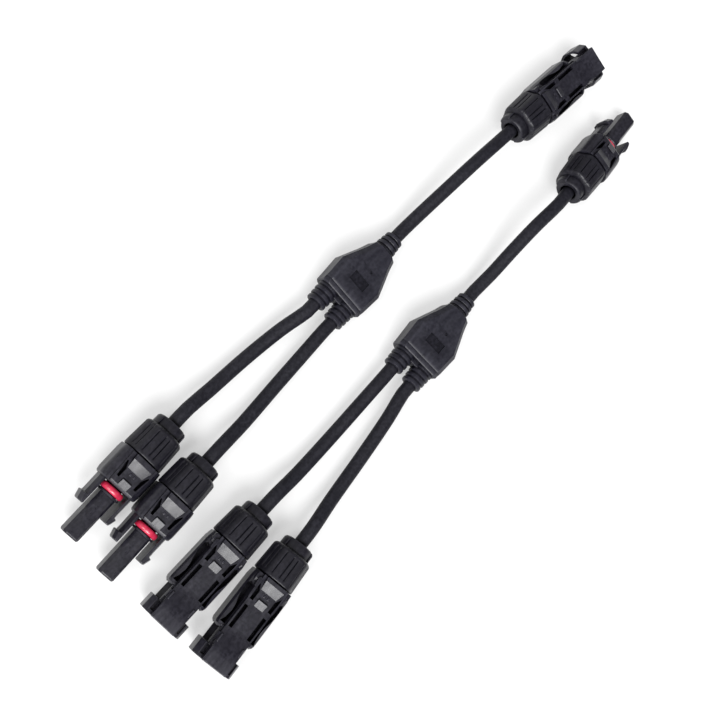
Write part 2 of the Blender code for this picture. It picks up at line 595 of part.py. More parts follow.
# ================================================================ Y moulding
def y_moulding(name, parent):
    """Flat body with two branch boots and a trunk boot, hollow round the splice."""
    def slab(station, half, high=Y_HALF_HIGH):
        flat = half - Y_BEVEL[0]
        rise, drop = high - Y_BEVEL[1], Y_BEVEL[1] - Y_HALF_HIGH
        return station, [(half, rise), (flat, high), (-flat, high), (-half, rise),
                         (-half, drop), (-flat, -Y_HALF_HIGH), (flat, -Y_HALF_HIGH), (half, drop)]

    shelf = Y_HALF_HIGH - Y_STEP_RISE
    body = loft(name, [
        slab(Y_BODY_START, Y_END_HALF, shelf), slab(Y_STEP, Y_END_HALF, shelf),
        slab(Y_STEP + 0.5 * MM, Y_END_HALF), *[slab(s, half) for s, half in Y_WAIST]])

    def boot_profile(tip, root, radii):
        """A ribbed sleeve, from its tip to its root inside the body."""
        pitch = (root - tip) / Y_BOOT_RIBS
        profile = [(tip, 0.0)]
        for i in range(Y_BOOT_RIBS):
            radius = radii[0] + (radii[1] - radii[0]) * i / (Y_BOOT_RIBS - 1)
            profile += [(tip + i * pitch, radius - Y_RIB_DEPTH),
                        (tip + (i + 0.3) * pitch, radius), (tip + (i + 0.7) * pitch, radius)]
        return profile + [(root, radii[1] - Y_RIB_DEPTH), (root, 0.0)]

    for offset, word in ((Y_BRANCH_OFFSET, "port"), (-Y_BRANCH_OFFSET, "starboard")):
        boot = turned(f"{name}_boot_{word}", boot_profile(
            Y_BOOT_START, Y_BODY_START + 1.0 * MM, Y_BOOT_RADII), BOOT_STEPS)
        boot.location.y = offset
        cut(body, boot, 'UNION')
    shoulder = Y_WAIST[-1][0]
    cut(body, turned(name + "_trunk_boot", boot_profile(
        Y_TRUNK_BOOT_END, shoulder - 1.0 * MM, Y_TRUNK_BOOT_RADII)[::-1], BOOT_STEPS), 'UNION')

    bore = JACKET_RADIUS + GAP
    stop = Y_BRANCH_JACKET_END + 0.4 * MM
    for offset, word in ((Y_BRANCH_OFFSET, "port"), (-Y_BRANCH_OFFSET, "starboard")):
        hole = turned(f"{name}_hole_{word}", [
            (Y_BOOT_START - 1.0 * MM, 0.0), (Y_BOOT_START - 1.0 * MM, bore), (stop, bore),
            (stop, 0.0)])
        hole.location.y = offset
        cut(body, hole)
    trunk_stop = Y_TRUNK_JACKET_END - 0.4 * MM
    cut(body, turned(name + "_hole_trunk", [
        (trunk_stop, 0.0), (trunk_stop, bore), (Y_TRUNK_BOOT_END + 1.0 * MM, bore),
        (Y_TRUNK_BOOT_END + 1.0 * MM, 0.0)]))
    cavity_high = SPLICE_RADIUS + GAP
    cut(body, loft(name + "_cavity", [
        (station, [(half, cavity_high), (-half, cavity_high), (-half, -cavity_high),
                   (half, -cavity_high)])
        for station, half in (
            (stop - 0.7 * MM, 8.3 * MM), (Y_SPLICE_MIDDLE - SPLICE_HALF, 4.7 * MM),
            (trunk_stop + 0.7 * MM, 4.6 * MM))]))
    (start, end), half = Y_PLAQUE
    cut(body, boxes(name + "_plaque", [
        ((start, -half, Y_HALF_HIGH - 0.5 * MM), (end, half, Y_HALF_HIGH + 1.0 * MM))]))
    finish(body, parent, "cable_rubber")


def splice_sleeve(name, parent):
    start, end = Y_SPLICE_MIDDLE - SPLICE_HALF, Y_SPLICE_MIDDLE + SPLICE_HALF
    sleeve = turned(name, [(start, SPLICE_BORE), (start, SPLICE_RADIUS), (end, SPLICE_RADIUS),
                           (end, SPLICE_BORE)], INNER_STEPS)
    finish(sleeve, parent, "tinned_copper")


# ================================================================ cables
def smooth_route(points, step):
    """Points about a step apart on a smooth curve through the given points."""
    ahead = points[1:] + [points[-1]]
    behind = [points[0]] + points[:-1]
    headings = [(b - a).normalized() for a, b in zip(behind, ahead)]
    route = []
    for i in range(len(points) - 1):
        start, end = points[i], points[i + 1]
        length = (end - start).length
        pieces = max(1, round(length / step))
        stretch = interpolate_bezier(start, start + headings[i] * length / 3,
                                     end - headings[i + 1] * length / 3, end, pieces + 1)
        route += stretch[:-1]
    return route + [points[-1]]


def tube(name, points, radius, wall=0.0, bevel=2):
    """A round bar along the points, or a pipe where it has a wall."""
    data = bpy.data.curves.new(name, 'CURVE')
    data.dimensions = '3D'
    data.bevel_depth = radius
    data.bevel_resolution = bevel
    data.use_fill_caps = wall == 0.0
    spline = data.splines.new('POLY')
    spline.points.add(len(points) - 1)
    for point, place in zip(spline.points, points):
        point.co = (*place, 1.0)
    obj = bpy.data.objects.new(name, data)
    parts.objects.link(obj)
    if wall:
        shell = obj.modifiers.new("Wall", 'SOLIDIFY')
        shell.thickness = wall
        shell.offset = -1.0
    return obj


def cable(name, holder, tip, y_frame, branch):
    """Jacket and copper core from a connector to its Y, branch being its offset there."""
    behind = [holder @ Vector((s, 0.0, 0.0))
              for s in (TOTAL_LENGTH, TOTAL_LENGTH + STRAIGHT_BEHIND)]
    middle = [Vector(point) * MM for point in CABLE_MIDS[name]]
    if branch:
        way_in = [(Y_BOOT_START - 5.0 * MM, branch), (Y_BOOT_START, branch),
                  (Y_BRANCH_JACKET_END, branch)]
        core_side = math.copysign(SPLICE_CORE_OFFSET, branch)
        core_in = [(Y_SPLICE_MIDDLE - SPLICE_HALF, core_side),
                   (Y_SPLICE_MIDDLE - GAP, core_side)]
    else:
        way_in = [(Y_TRUNK_BOOT_END + 5.0 * MM, 0.0), (Y_TRUNK_BOOT_END, 0.0),
                  (Y_TRUNK_JACKET_END, 0.0)]
        core_in = [(Y_SPLICE_MIDDLE + GAP, 0.0)]
    arrive = [y_frame @ Vector((x, y, 0.0)) for x, y in way_in]
    core_end = [y_frame @ Vector((x, y, 0.0)) for x, y in core_in]
    jacket_tip = holder @ Vector((JACKET_TIP, 0.0, 0.0))
    route = smooth_route([jacket_tip] + behind + middle + arrive, ROUTE_STEP)
    jacket = tube(f"{name}_cable_jacket", route, JACKET_RADIUS, JACKET_WALL)
    jacket.data.materials.append(material_of["cable_rubber"])
    core_start = holder @ Vector((tip, 0.0, 0.0))
    splice_route = smooth_route([arrive[-1]] + core_end, ROUTE_STEP / 4)
    core = tube(f"{name}_copper_core", [core_start] + route + splice_route[1:], CORE_RADIUS,
                bevel=1)
    core.data.materials.append(material_of["copper"])


# ================================================================ assembly
clear_scene()
parts = new_collection("solar_cable_connector")
cutters = new_collection("cutters")
material_of = {name: make_material(name) for name in MATERIALS}

for lead, y_x, y_y, y_yaw, y_roll in JOINTS_Y:
    y_matrix = axis_matrix(y_x, y_y, rest_height(SUPPORT_CORNERS["y"], 0.0, y_roll), y_yaw,
                           roll=y_roll)
    holder = frame(f"{lead}_y_frame", y_matrix)
    y_moulding(f"{lead}_y_moulding", holder)
    splice_sleeve(f"{lead}_splice_sleeve", holder)
    offset_of = {"left": Y_BRANCH_OFFSET, "right": -Y_BRANCH_OFFSET, "trunk": 0.0}
    for name, kind, x, y, yaw, climb, roll in CONNECTORS:
        if name.startswith(lead):
            height = rest_height(SUPPORT_CORNERS[kind], climb, roll)
            matrix = axis_matrix(x, y, height, yaw, climb, roll)
            connector(name, kind, matrix)
            core_tip = CORE_TIP if kind == "shell" else CORE_TIP + PROBE_CRIMP_SETBACK
            cable(name, matrix, core_tip, y_matrix, offset_of[name.split("_")[1]])
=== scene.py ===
import math

import bmesh
import bpy
from mathutils import Matrix, Vector
from mathutils.geometry import interpolate_bezier


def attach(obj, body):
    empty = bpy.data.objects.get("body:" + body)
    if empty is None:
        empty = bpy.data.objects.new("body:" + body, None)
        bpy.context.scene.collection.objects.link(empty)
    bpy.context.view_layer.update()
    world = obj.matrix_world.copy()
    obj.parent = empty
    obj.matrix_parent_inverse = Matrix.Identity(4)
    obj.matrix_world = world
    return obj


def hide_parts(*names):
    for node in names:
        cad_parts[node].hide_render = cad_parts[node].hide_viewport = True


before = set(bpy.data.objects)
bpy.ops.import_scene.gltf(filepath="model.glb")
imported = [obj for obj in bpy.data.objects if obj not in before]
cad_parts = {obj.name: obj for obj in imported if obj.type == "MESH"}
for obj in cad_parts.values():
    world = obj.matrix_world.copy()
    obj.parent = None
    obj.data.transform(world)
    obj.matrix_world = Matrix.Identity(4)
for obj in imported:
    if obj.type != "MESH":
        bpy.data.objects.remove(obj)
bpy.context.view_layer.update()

# Shapes are drawn in millimetres in a piece's own frame.  Its X axis runs from the mating tip
# of a connector, or from the branch side of a Y, towards the cable; Z is up.
MM = 0.001
ROUND_STEPS = 96
FEW_STEPS = 64                      # round a small or half-hidden part
BEVEL_ABOVE = math.radians(25.0)    # edges that turn by more than this are bevelled
BEVEL_SEGMENTS = 2

# ---------------------------------------------------------------- cable and contacts
JACKET_RADIUS = 3.0
PIN_RADIUS = 2.0
SOCKET_RADIUS = 3.0
BARREL_RADIUS = 2.4
CRIMP_BORE = 1.6
CRIMP_END = 33.6
PIN_TIP = 6.0
PIN_NOSE = 1.5                      # length of its rounded tip
PIN_TIP_RADIUS = 0.9
PIN_CRIMP_START = 25.0
SOCKET_DEPTH = 16.0
SOCKET_SLIT = (9.0, 0.25)           # length and half width
SOCKET_FLANGE = (26.2, 27.6)
SOCKET_FLANGE_RADIUS = 3.6
SOCKET_CRIMP_START = 28.0

# ---------------------------------------------------------------- stations of a connector
TOTAL_LENGTH = 58.0
BODY_END = 39.7
SPIGOT_END = 47.0
SPIGOT_RADIUS = 7.4
THREAD_PITCH = 3.0
THREAD_DEPTH = 0.4
THREAD_FLANK = (2.6, 0.8)           # slope of a flank, and how far below the root it starts
THREAD_ROWS = 46
CHAMBER_RADIUS = 6.3
CHAMBER_START = 34.2
JACKET_TIP = 35.6
HALF_WIDTH = 9.65

MOUTH_RADIUS = 5.45
MOUTH_DEPTH = 4.4
SHELL_BORE_RADIUS = 4.6
SHELL_BORE_END = 21.0
SHELL_INNER_BORE = 3.0
SHELL_CHANNEL_END = 13.6
SHELL_PANEL = 8.0                   # height of the level panel above the axis
SHELL_BOSS = (27.4, 30.8)
SHELL_RAMP = (33.9, 38.0)           # where it starts to rise and where it is nearly level

NOSE_HALF = 3.8
NOSE_CHAMFER = 1.25
NOSE_BORE = 3.25
NOSE_LIP_RADIUS = 2.5
NOSE_LIP = 1.4
RING_SEAT_RADIUS = 3.9
RING_SEAT = (21.5, 24.7)
RING_FLANGE = (20.6, 21.5)
RING_FLANGE_RADIUS = 5.3
RING_RADIUS = 5.7
COLLAR_START = 25.0
PROBE_PANEL = 7.9
PROBE_BOSS = (25.9, 29.2)
PROBE_RAMP = (33.1, 37.4)
PROBE_POCKET_END = 28.0

SLOT_DEPTH = 3.0
BOSS_HALF = 2.3
RAMP_SAG = 110.0                    # its top falls off by y * y / sag

ARM_TIP = 12.2
ARM_ROOT = 27.4
ARM_INNER = 6.1
ARM_OUTER = 8.5
ARM_BARB = 9.3
ARM_HALF_WIDTH = 4.6
BARB_PEAK = (15.3, 15.8)
BARB_BACK = (16.1, 18.0)
CHANNEL_HALF_ANGLE = math.radians(37)
CHANNEL_SPARE = 0.35

NUT_START = 40.0
NUT_RADIUS = 9.35
NUT_END_RADIUS = 8.85
NUT_SHOULDER = 52.0
CROWN_START = 53.8
CROWN_RADIUS = 6.35
CROWN_TAB_RADIUS = 7.15
THREAD_BORE = 7.75
THREAD_END = 48.2
EXIT_BORE = 3.7
LOBES = 6
LOBE_HEIGHT = 0.32
GROOVE_DEPTH = 0.5
GROOVE_HALF = math.radians(2.3)
GROOVE_OFFSET = math.radians(7.0)   # from the valley between two lobes
GRIP_HALF = math.radians(30.0)      # of each tab on the crown

CAGE_START = 42.8
CAGE_RADIUS = 5.9
CAGE_SHOULDER = 47.4
CAGE_SHOULDER_RADIUS = 7.1
CAGE_END = 53.4
CAGE_CUTS = 6

# ---------------------------------------------------------------- Y moulding
Y_HALF_HIGH = 6.2
Y_BEVEL = (2.1, 1.8)                # across and down
Y_BRANCH_OFFSET = 5.6
Y_BOOT_START = -22.4
Y_BOOT_RADII = (4.6, 5.1)           # at the tip and at the body
Y_BOOT_RIBS = 4
Y_BODY_START = -13.6
Y_END_HALF = 11.4
Y_STEP = -11.4
Y_STEP_RISE = 0.7
Y_WIDE_HALF = 12.1
Y_WAIST = ((-0.6, Y_WIDE_HALF), (6.4, 9.3), (11.0, 7.4), (15.4, 6.0))
Y_PLAQUE = ((-5.2, -0.6), 4.3)
Y_PLAQUE_DEPTH = 0.45
Y_TRUNK_BOOT_END = 24.8
Y_TRUNK_BOOT_RADII = (4.3, 5.2)
Y_BRANCH_JACKET_END = -6.4
Y_TRUNK_JACKET_END = 9.9
Y_WEB_START = -15.6                 # between the two branch boots

# ---------------------------------------------------------------- layout, as in the CAD model
# name, kind, tip x, tip y, then in degrees: yaw of the axis from tip to cable, its climb
# towards the cable, and the roll about it
CONNECTORS = (
    ("a_left", "probe", -36.44, -157.46, 91.0, 0.0, 18.0),
    ("a_right", "probe", -16.1, -159.36, 91.1, 0.0, 13.0),
    ("a_trunk", "shell", -17.2, 158.34, -93.9, 5.0, -12.0),
    ("b_left", "shell", 11.8, -158.36, 89.5, 0.0, 6.0),
    ("b_right", "shell", 37.4, -157.16, 94.1, 0.0, 7.0),
    ("b_trunk", "probe", 15.6, 157.14, -88.3, 9.5, -13.0),
)
# x, y, yaw, roll
Y_PLACES = {"a": (-25.0, 0.74, 90.0, 14.0), "b": (17.5, 5.14, 91.5, 9.0)}
CABLE_MIDS = {
    "a_left": ((-36.6, -79.0, 8.0), (-35.2, -59.0, 7.3), (-33.0, -40.0, 8.4)),
    "a_right": ((-17.3, -79.0, 7.4), (-18.2, -59.0, 6.3), (-19.0, -40.0, 6.7)),
    "a_trunk": ((-22.8, 77.0, 16.2), (-23.8, 58.0, 13.2), (-24.6, 42.0, 10.2)),
    "b_left": ((13.3, -79.0, 7.2), (13.4, -56.0, 6.6), (13.0, -36.0, 7.6)),
    "b_right": ((31.2, -77.0, 7.0), (28.9, -55.0, 6.1), (26.2, -35.0, 6.5)),
    "b_trunk": ((16.5, 75.0, 16.0), (16.6, 60.0, 12.8), (17.0, 46.0, 9.6)),
}
STRAIGHT_BEHIND = 8.5
ROUTE_STEP = 5.0
# Station, y and z of the corners that can touch the table.
SUPPORT_CORNERS = {
    "shell": ((0.6, 6.0, 9.2), (38.0, 4.4, 9.3)),
    "probe": ((0.0, NOSE_HALF - NOSE_CHAMFER, NOSE_HALF), (26.2, 6.2, 7.9), (37.4, 4.4, 9.3)),
    "y": ((0.0, Y_WIDE_HALF - Y_BEVEL[0], Y_HALF_HIGH),),
}

# ---------------------------------------------------------------- camera and light
CAMERA_PLACE = (-0.03689, -0.14658, 0.41051)
CAMERA_TILT = math.radians(17.5174)         # from straight down
CAMERA_TURN = math.pi / 2 - math.radians(106.97438)
CAMERA_UP = math.radians(29.3874)           # which way is up in the picture
SENSOR_MM, LENS_MM = 36.0, 49.4545
# name, direction of the light's source, strength, angular width in degrees
SUNS = (("key", (0.39, -0.50, 0.77), 4.6, 34.0), ("fill", (-0.30, -0.45, 0.84), 1.6, 24.0),
        ("side", (-0.90, -0.10, 0.42), 0.25, 35.0), ("low", (0.12, -0.93, 0.34), 0.6, 24.0))
SKY_LOW, SKY_HIGH = 0.45, 0.5               # strength near the horizon and overhead
SKY_LEFT, SKY_RIGHT = 1.1, 0.5              # what that is multiplied by from -X to +X


# ================================================================ mesh tools
def new_mesh_object(build, name="shape"):
    """An object in the scene whose mesh is filled in by build(bm)."""
    mesh = bpy.data.meshes.new(name)
    bm = bmesh.new()
    build(bm)
    bm.to_mesh(mesh)
    bm.free()
    obj = bpy.data.objects.new(name, mesh)
    bpy.context.scene.collection.objects.link(obj)
    return obj


def copy_across(bm, planes):
    """Add mirror images of everything across the planes y = 0 and z = 0 that are named."""
    for plane in planes:
        flip = Vector((1, -1, 1)) if plane == "y" else Vector((1, 1, -1))
        copied = bmesh.ops.duplicate(bm, geom=bm.verts[:] + bm.edges[:] + bm.faces[:])["geom"]
        bmesh.ops.scale(bm, vec=flip, verts=[g for g in copied if isinstance(g, bmesh.types.BMVert)])
        faces = [g for g in copied if isinstance(g, bmesh.types.BMFace)]
        bmesh.ops.reverse_faces(bm, faces=faces)


def round_edges(bm, width):
    """Bevel every edge where the faces turn by more than BEVEL_ABOVE."""
    edges = [e for e in bm.edges if len(e.link_faces) == 2
             and e.calc_face_angle(0.0) > BEVEL_ABOVE]
    bmesh.ops.bevel(bm, geom=edges, offset=width, offset_type='OFFSET', profile=0.5,
                    segments=BEVEL_SEGMENTS, affect='EDGES', clamp_overlap=True)


def loft(sections, bevel=0.0, planes=""):
    """A solid through (station, outline) sections, outlines being (y, z) loops."""
    def build(bm):
        loops = [[bm.verts.new((s, y, z)) for y, z in outline] for s, outline in sections]
        count = len(loops[0])
        for near, far in zip(loops, loops[1:]):
            for i in range(count):
                j = (i + 1) % count
                bm.faces.new((near[i], near[j], far[j], far[i]))
        bm.faces.new(reversed(loops[0]))
        bm.faces.new(loops[-1])
        bmesh.ops.recalc_face_normals(bm, faces=bm.faces)
        if bevel:
            round_edges(bm, bevel)
        copy_across(bm, planes)

    return new_mesh_object(build)


def plate(outline, low, high, axis='Z', bevel=0.0, planes="", top=None):
    """An outline pushed from low to high along Z, in (x, y), or along Y, in (x, z).

    top(u, v) may give a height of its own to each point of the far face.
    """
    def place(u, v, w):
        return (u, v, w) if axis == 'Z' else (u, w, v)

    def build(bm):
        near = [bm.verts.new(place(u, v, low)) for u, v in outline]
        far = [bm.verts.new(place(u, v, top(u, v) if top else high)) for u, v in outline]
        bm.faces.new(near)
        bm.faces.new(far)
        for i in range(len(near)):
            j = (i + 1) % len(near)
            bm.faces.new((near[i], near[j], far[j], far[i]))
        bmesh.ops.recalc_face_normals(bm, faces=bm.faces)
        if bevel:
            round_edges(bm, bevel)
        copy_across(bm, planes)

    return new_mesh_object(build)


def box(low, high, bevel=0.0, planes=""):
    """A block between two opposite corners."""
    outline = [(low[0], low[1]), (high[0], low[1]), (high[0], high[1]), (low[0], high[1])]
    return plate(outline, low[2], high[2], bevel=bevel, planes=planes)


def turned(profile, steps=ROUND_STEPS):
    """A solid turned about X from (station, radius) points; closed to a ring off the axis."""
    closed = not (profile[0][1] == 0.0 and profile[-1][1] == 0.0)

    def build(bm):
        rows = []
        for s, r in profile:
            if r == 0.0:
                rows.append([bm.verts.new((s, 0.0, 0.0))] * steps)
                continue
            angles = [math.tau * i / steps for i in range(steps)]
            rows.append([bm.verts.new((s, r * math.cos(a), r * math.sin(a))) for a in angles])
        pairs = list(zip(rows, rows[1:]))
        if closed:
            pairs.append((rows[-1], rows[0]))
        for near, far in pairs:
            for i in range(steps):
                j = (i + 1) % steps
                corners = []
                for vert in (near[i], near[j], far[j], far[i]):
                    if vert not in corners:
                        corners.append(vert)
                if len(corners) > 2:
                    bm.faces.new(corners)
        bmesh.ops.recalc_face_normals(bm, faces=bm.faces)

    return new_mesh_object(build)


def surface_of_turn(stations, radius, steps, inner):
    """A ring whose outer radius(s, angle) may vary; inner lists its (station, radius) way back."""
    def build(bm):
        rows = [[bm.verts.new((s, radius(s, a) * math.cos(a), radius(s, a) * math.sin(a)))
                 for a in (math.tau * i / steps for i in range(steps))] for s in stations]
        rows += [[bm.verts.new((s, r * math.cos(a), r * math.sin(a)))
                  for a in (math.tau * i / steps for i in range(steps))] for s, r in inner]
        for near, far in zip(rows, rows[1:] + rows[:1]):
            for i in range(steps):
                j = (i + 1) % steps
                bm.faces.new((near[i], near[j], far[j], far[i]))
        bmesh.ops.recalc_face_normals(bm, faces=bm.faces)

    return new_mesh_object(build)


def combined(body, steps):
    """Join ('UNION') or cut ('DIFFERENCE') the body with each tool in turn."""
    for operation, tool in steps:
        modifier = body.modifiers.new("Combine", 'BOOLEAN')
        modifier.operation = operation
        modifier.object = tool
    graph = bpy.context.evaluated_depsgraph_get()
    mesh = bpy.data.meshes.new_from_object(body.evaluated_get(graph))
    for obj in [body] + [tool for _, tool in steps]:
        bpy.data.objects.remove(obj, do_unlink=True)
    return mesh


def mesh_of(obj):
    """The mesh of an object that is no longer needed."""
    mesh = obj.data
    bpy.data.objects.remove(obj, do_unlink=True)
    return mesh


def finished(mesh, name, material, sharp=35.0):
    """Scale a drawn mesh to metres and give it its shading and material."""
    mesh.name = name
    mesh.transform(Matrix.Scale(MM, 4))
    mesh.shade_smooth()
    mesh.set_sharp_from_angle(angle=math.radians(sharp))
    mesh.materials.clear()
    mesh.materials.append(material)
    return mesh


def put(mesh, name, matrix, body, slot, *nodes):
    """Place a piece so that it rides on its body and stands in for its CAD nodes."""
    obj = bpy.data.objects.new(name, mesh)
    bpy.context.scene.collection.objects.link(obj)
    obj.matrix_world = matrix
    normals = obj.modifiers.new("Weighted normals", 'WEIGHTED_NORMAL')
    normals.keep_sharp = True
    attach(obj, body)
    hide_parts(*nodes)


# ================================================================ outlines
def rectangle(half_y, half_z):
    return [(half_y, half_z), (-half_y, half_z), (-half_y, -half_z), (half_y, -half_z)]


def chamfered(half, chamfer):
    """A square with its corners cut off."""
    near = half - chamfer
    return [(half, near), (near, half), (-near, half), (-half, near),
            (-half, -near), (-near, -half), (near, -half), (half, -near)]


def eightfold(*quarter):
    """A full outline from the points of its first quarter, from the side to the top."""
    upper = list(quarter) + [(-y, z) for y, z in reversed(quarter)]
    return upper + [(-y, -z) for y, z in upper]


def sector(inner, outer, half_angle, steps=14):
    """An arc-shaped band of the circle about the axis, centred on +Y."""
    angles = [half_angle * (2 * i / steps - 1) for i in range(steps + 1)]
    outside = [(outer * math.cos(a), outer * math.sin(a)) for a in angles]
    inside = [(inner * math.cos(a), inner * math.sin(a)) for a in reversed(angles)]
    return outside + inside


def crowned(half, top, low, steps=8):
    """A pad whose top falls off a little to either side."""
    across = [half * (1 - 2 * i / steps) for i in range(steps + 1)]
    return [(y, top - y * y / RAMP_SAG) for y in across] + [(-half, low), (half, low)]


def rounded_wing(half, low_part, core_half, core_high, steps=8):
    """A body section whose sides bulge out to a half-width and curve in to the core."""
    reach = half - core_half + 1.2
    sweep = math.radians(75.0)
    quarter = []
    for i in range(steps + 1):
        a = sweep * i / steps
        quarter.append((half - reach + reach * math.cos(a),
                        low_part + (core_high - low_part) * math.sin(a) / math.sin(sweep)))
    return eightfold(*quarter)


# ================================================================ materials
def graph_of(name):
    material = bpy.data.materials.new(name)
    material.use_nodes = True
    return material, material.node_tree


def linked(tree, kind, inputs=None, **settings):
    """A new node; inputs maps socket names to values or to other nodes' sockets."""
    node = tree.nodes.new(kind)
    for name, value in settings.items():
        setattr(node, name, value)
    for name, value in (inputs or {}).items():
        if isinstance(value, bpy.types.NodeSocket):
            tree.links.new(value, node.inputs[name])
        else:
            node.inputs[name].default_value = value
    return node


def noise(tree, size_mm, detail=3.0, stretch=(1.0, 1.0, 1.0)):
    """Noise in the piece's own frame whose blotches are about this many millimetres across."""
    place = linked(tree, "ShaderNodeTexCoord").outputs["Object"]
    scaled = linked(tree, "ShaderNodeMapping", {"Vector": place, "Scale": stretch})
    texture = linked(tree, "ShaderNodeTexNoise", {
        "Vector": scaled.outputs["Vector"], "Scale": 1.0 / (size_mm * MM), "Detail": detail,
        "Roughness": 0.55})
    return texture.outputs["Fac"]


def spread(tree, value, low, high, to_low, to_high):
    """The value's range from low to high, mapped to another range."""
    node = linked(tree, "ShaderNodeMapRange", {
        "Value": value, "From Min": low, "From Max": high, "To Min": to_low, "To Max": to_high})
    return node.outputs["Result"]


def blended(tree, factor, first, second):
    """A mix of two colours, each a triple or a node's socket."""
    mix = linked(tree, "ShaderNodeMix", data_type='RGBA')
    tree.links.new(factor, mix.inputs["Factor"])
    for colour, socket in ((first, mix.inputs[6]), (second, mix.inputs[7])):
        if isinstance(colour, bpy.types.NodeSocket):
            tree.links.new(colour, socket)
        else:
            socket.default_value = (*colour, 1.0)
    return mix.outputs[2]


def bumps(tree, layers):
    """Stacked bump nodes from (height socket, depth in millimetres) layers."""
    normal = None
    for height, depth in layers:
        inputs = {"Height": height, "Distance": depth * MM, "Strength": 1.0}
        if normal is not None:
            inputs["Normal"] = normal
        normal = linked(tree, "ShaderNodeBump", inputs).outputs["Normal"]
    return normal


def moulded(name, dark, light, worn, roughness, grain, depth, specular):
    """Black moulded polymer: flow marks, an etched grain (millimetres), paler worn edges and painted
    shade in its hollows.
    """
    material, tree = graph_of(name)
    shader = tree.nodes["Principled BSDF"]
    cloud = noise(tree, 9.0, 4.0)
    flow = noise(tree, 2.2, 3.0, stretch=(0.25, 1.0, 1.0))
    fine = noise(tree, grain, 2.0)
    mottle = noise(tree, 1.3, 3.0)
    specks = noise(tree, 0.45, 2.0)
    patchy = linked(tree, "ShaderNodeMath", {0: spread(tree, cloud, 0.35, 0.65, 0.4, 1.0),
                                             1: spread(tree, mottle, 0.40, 0.62, 0.0, 1.0)},
                    operation='MULTIPLY').outputs[0]
    base = blended(tree, patchy, dark, light)
    dusty = blended(tree, spread(tree, specks, 0.66, 0.78, 0.0, 0.35), base, worn)
    edge = linked(tree, "ShaderNodeNewGeometry").outputs["Pointiness"]
    rubbed = linked(tree, "ShaderNodeMath", {0: spread(tree, edge, 0.52, 0.60, 0.0, 0.6),
                                             1: spread(tree, flow, 0.35, 0.7, 0.2, 1.0)},
                    operation='MULTIPLY').outputs[0]
    tree.links.new(blended(tree, rubbed, dusty, worn), shader.inputs["Base Color"])
    tree.links.new(spread(tree, flow, 0.3, 0.7, roughness - 0.06, roughness + 0.08),
                   shader.inputs["Roughness"])
    # Painted shade: hollows get a darker colour and less gloss, over the polymer's own colour.
    painted_hollow_shade(tree, shader, specular)
    tree.links.new(bumps(tree, [(cloud, 0.03), (mottle, 0.012), (fine, depth)]),
                   shader.inputs["Normal"])
    return material


def painted_hollow_shade(tree, shader, specular):
    """Painted shade in deep hollows: darken the colour and the gloss there by ambient occlusion."""
    hollow = linked(tree, "ShaderNodeAmbientOcclusion", {"Distance": 2.5 * MM}, samples=6)
    openness = spread(tree, hollow.outputs["AO"], 0.25, 0.85, 0.0, 1.0)
    # Painted shade: the near-black colour and the lowered gloss stand in for shade in hollows.
    colour = shader.inputs["Base Color"].links[0].from_socket
    tree.links.new(blended(tree, openness, (0.0012, 0.0011, 0.0018), colour),
                   shader.inputs["Base Color"])
    tree.links.new(spread(tree, openness, 0.0, 1.0, 0.05, specular),
                   shader.inputs["Specular IOR Level"])


def silicone(name, dark, light, roughness, coat):
    """Soft seal rubber, slightly translucent, with a moulded gloss."""
    material, tree = graph_of(name)
    shader = tree.nodes["Principled BSDF"]
    tree.links.new(blended(tree, spread(tree, noise(tree, 1.8), 0.3, 0.7, 0.0, 1.0), dark, light),
                   shader.inputs["Base Color"])
    tree.links.new(spread(tree, noise(tree, 0.8), 0.3, 0.7, roughness - 0.05, roughness + 0.08),
                   shader.inputs["Roughness"])
    shader.inputs["Subsurface Weight"].default_value = 0.15
    shader.inputs["Subsurface Scale"].default_value = 0.6 * MM
    shader.inputs["Coat Weight"].default_value = coat
    shader.inputs["Coat Roughness"].default_value = 0.2
    tree.links.new(bumps(tree, [(noise(tree, 0.25), 0.008)]), shader.inputs["Normal"])
    return material


def metal(name, dark, light, roughness, mark_mm, lay=(1.0, 0.04, 0.04)):
    """Drawn or turned metal with fine marks, round the axis unless lay says otherwise."""
    material, tree = graph_of(name)
    shader = tree.nodes["Principled BSDF"]
    patches = noise(tree, 1.5, 4.0)
    marks = noise(tree, mark_mm, 2.0, stretch=lay)
    tree.links.new(blended(tree, spread(tree, patches, 0.3, 0.7, 0.0, 1.0), dark, light),
                   shader.inputs["Base Color"])
    shader.inputs["Metallic"].default_value = 1.0
    tree.links.new(spread(tree, patches, 0.3, 0.7, roughness - 0.08, roughness + 0.1),
                   shader.inputs["Roughness"])
    tree.links.new(bumps(tree, [(marks, 0.012)]), shader.inputs["Normal"])
    return material


def paper_floor(name):
    """Pale matt paper that glows a little, so that it comes out white."""
    material, tree = graph_of(name)
    shader = tree.nodes["Principled BSDF"]
    tree.links.new(blended(tree, noise(tree, 60.0), (0.34, 0.34, 0.34), (0.37, 0.37, 0.37)),
                   shader.inputs["Base Color"])
    shader.inputs["Roughness"].default_value = 0.9
    shader.inputs["Specular IOR Level"].default_value = 0.1
    shader.inputs["Emission Color"].default_value = (1.0, 1.0, 1.0, 1.0)
    shader.inputs["Emission Strength"].default_value = 0.45
    tree.links.new(bumps(tree, [(noise(tree, 0.6), 0.01)]), shader.inputs["Normal"])
    return material


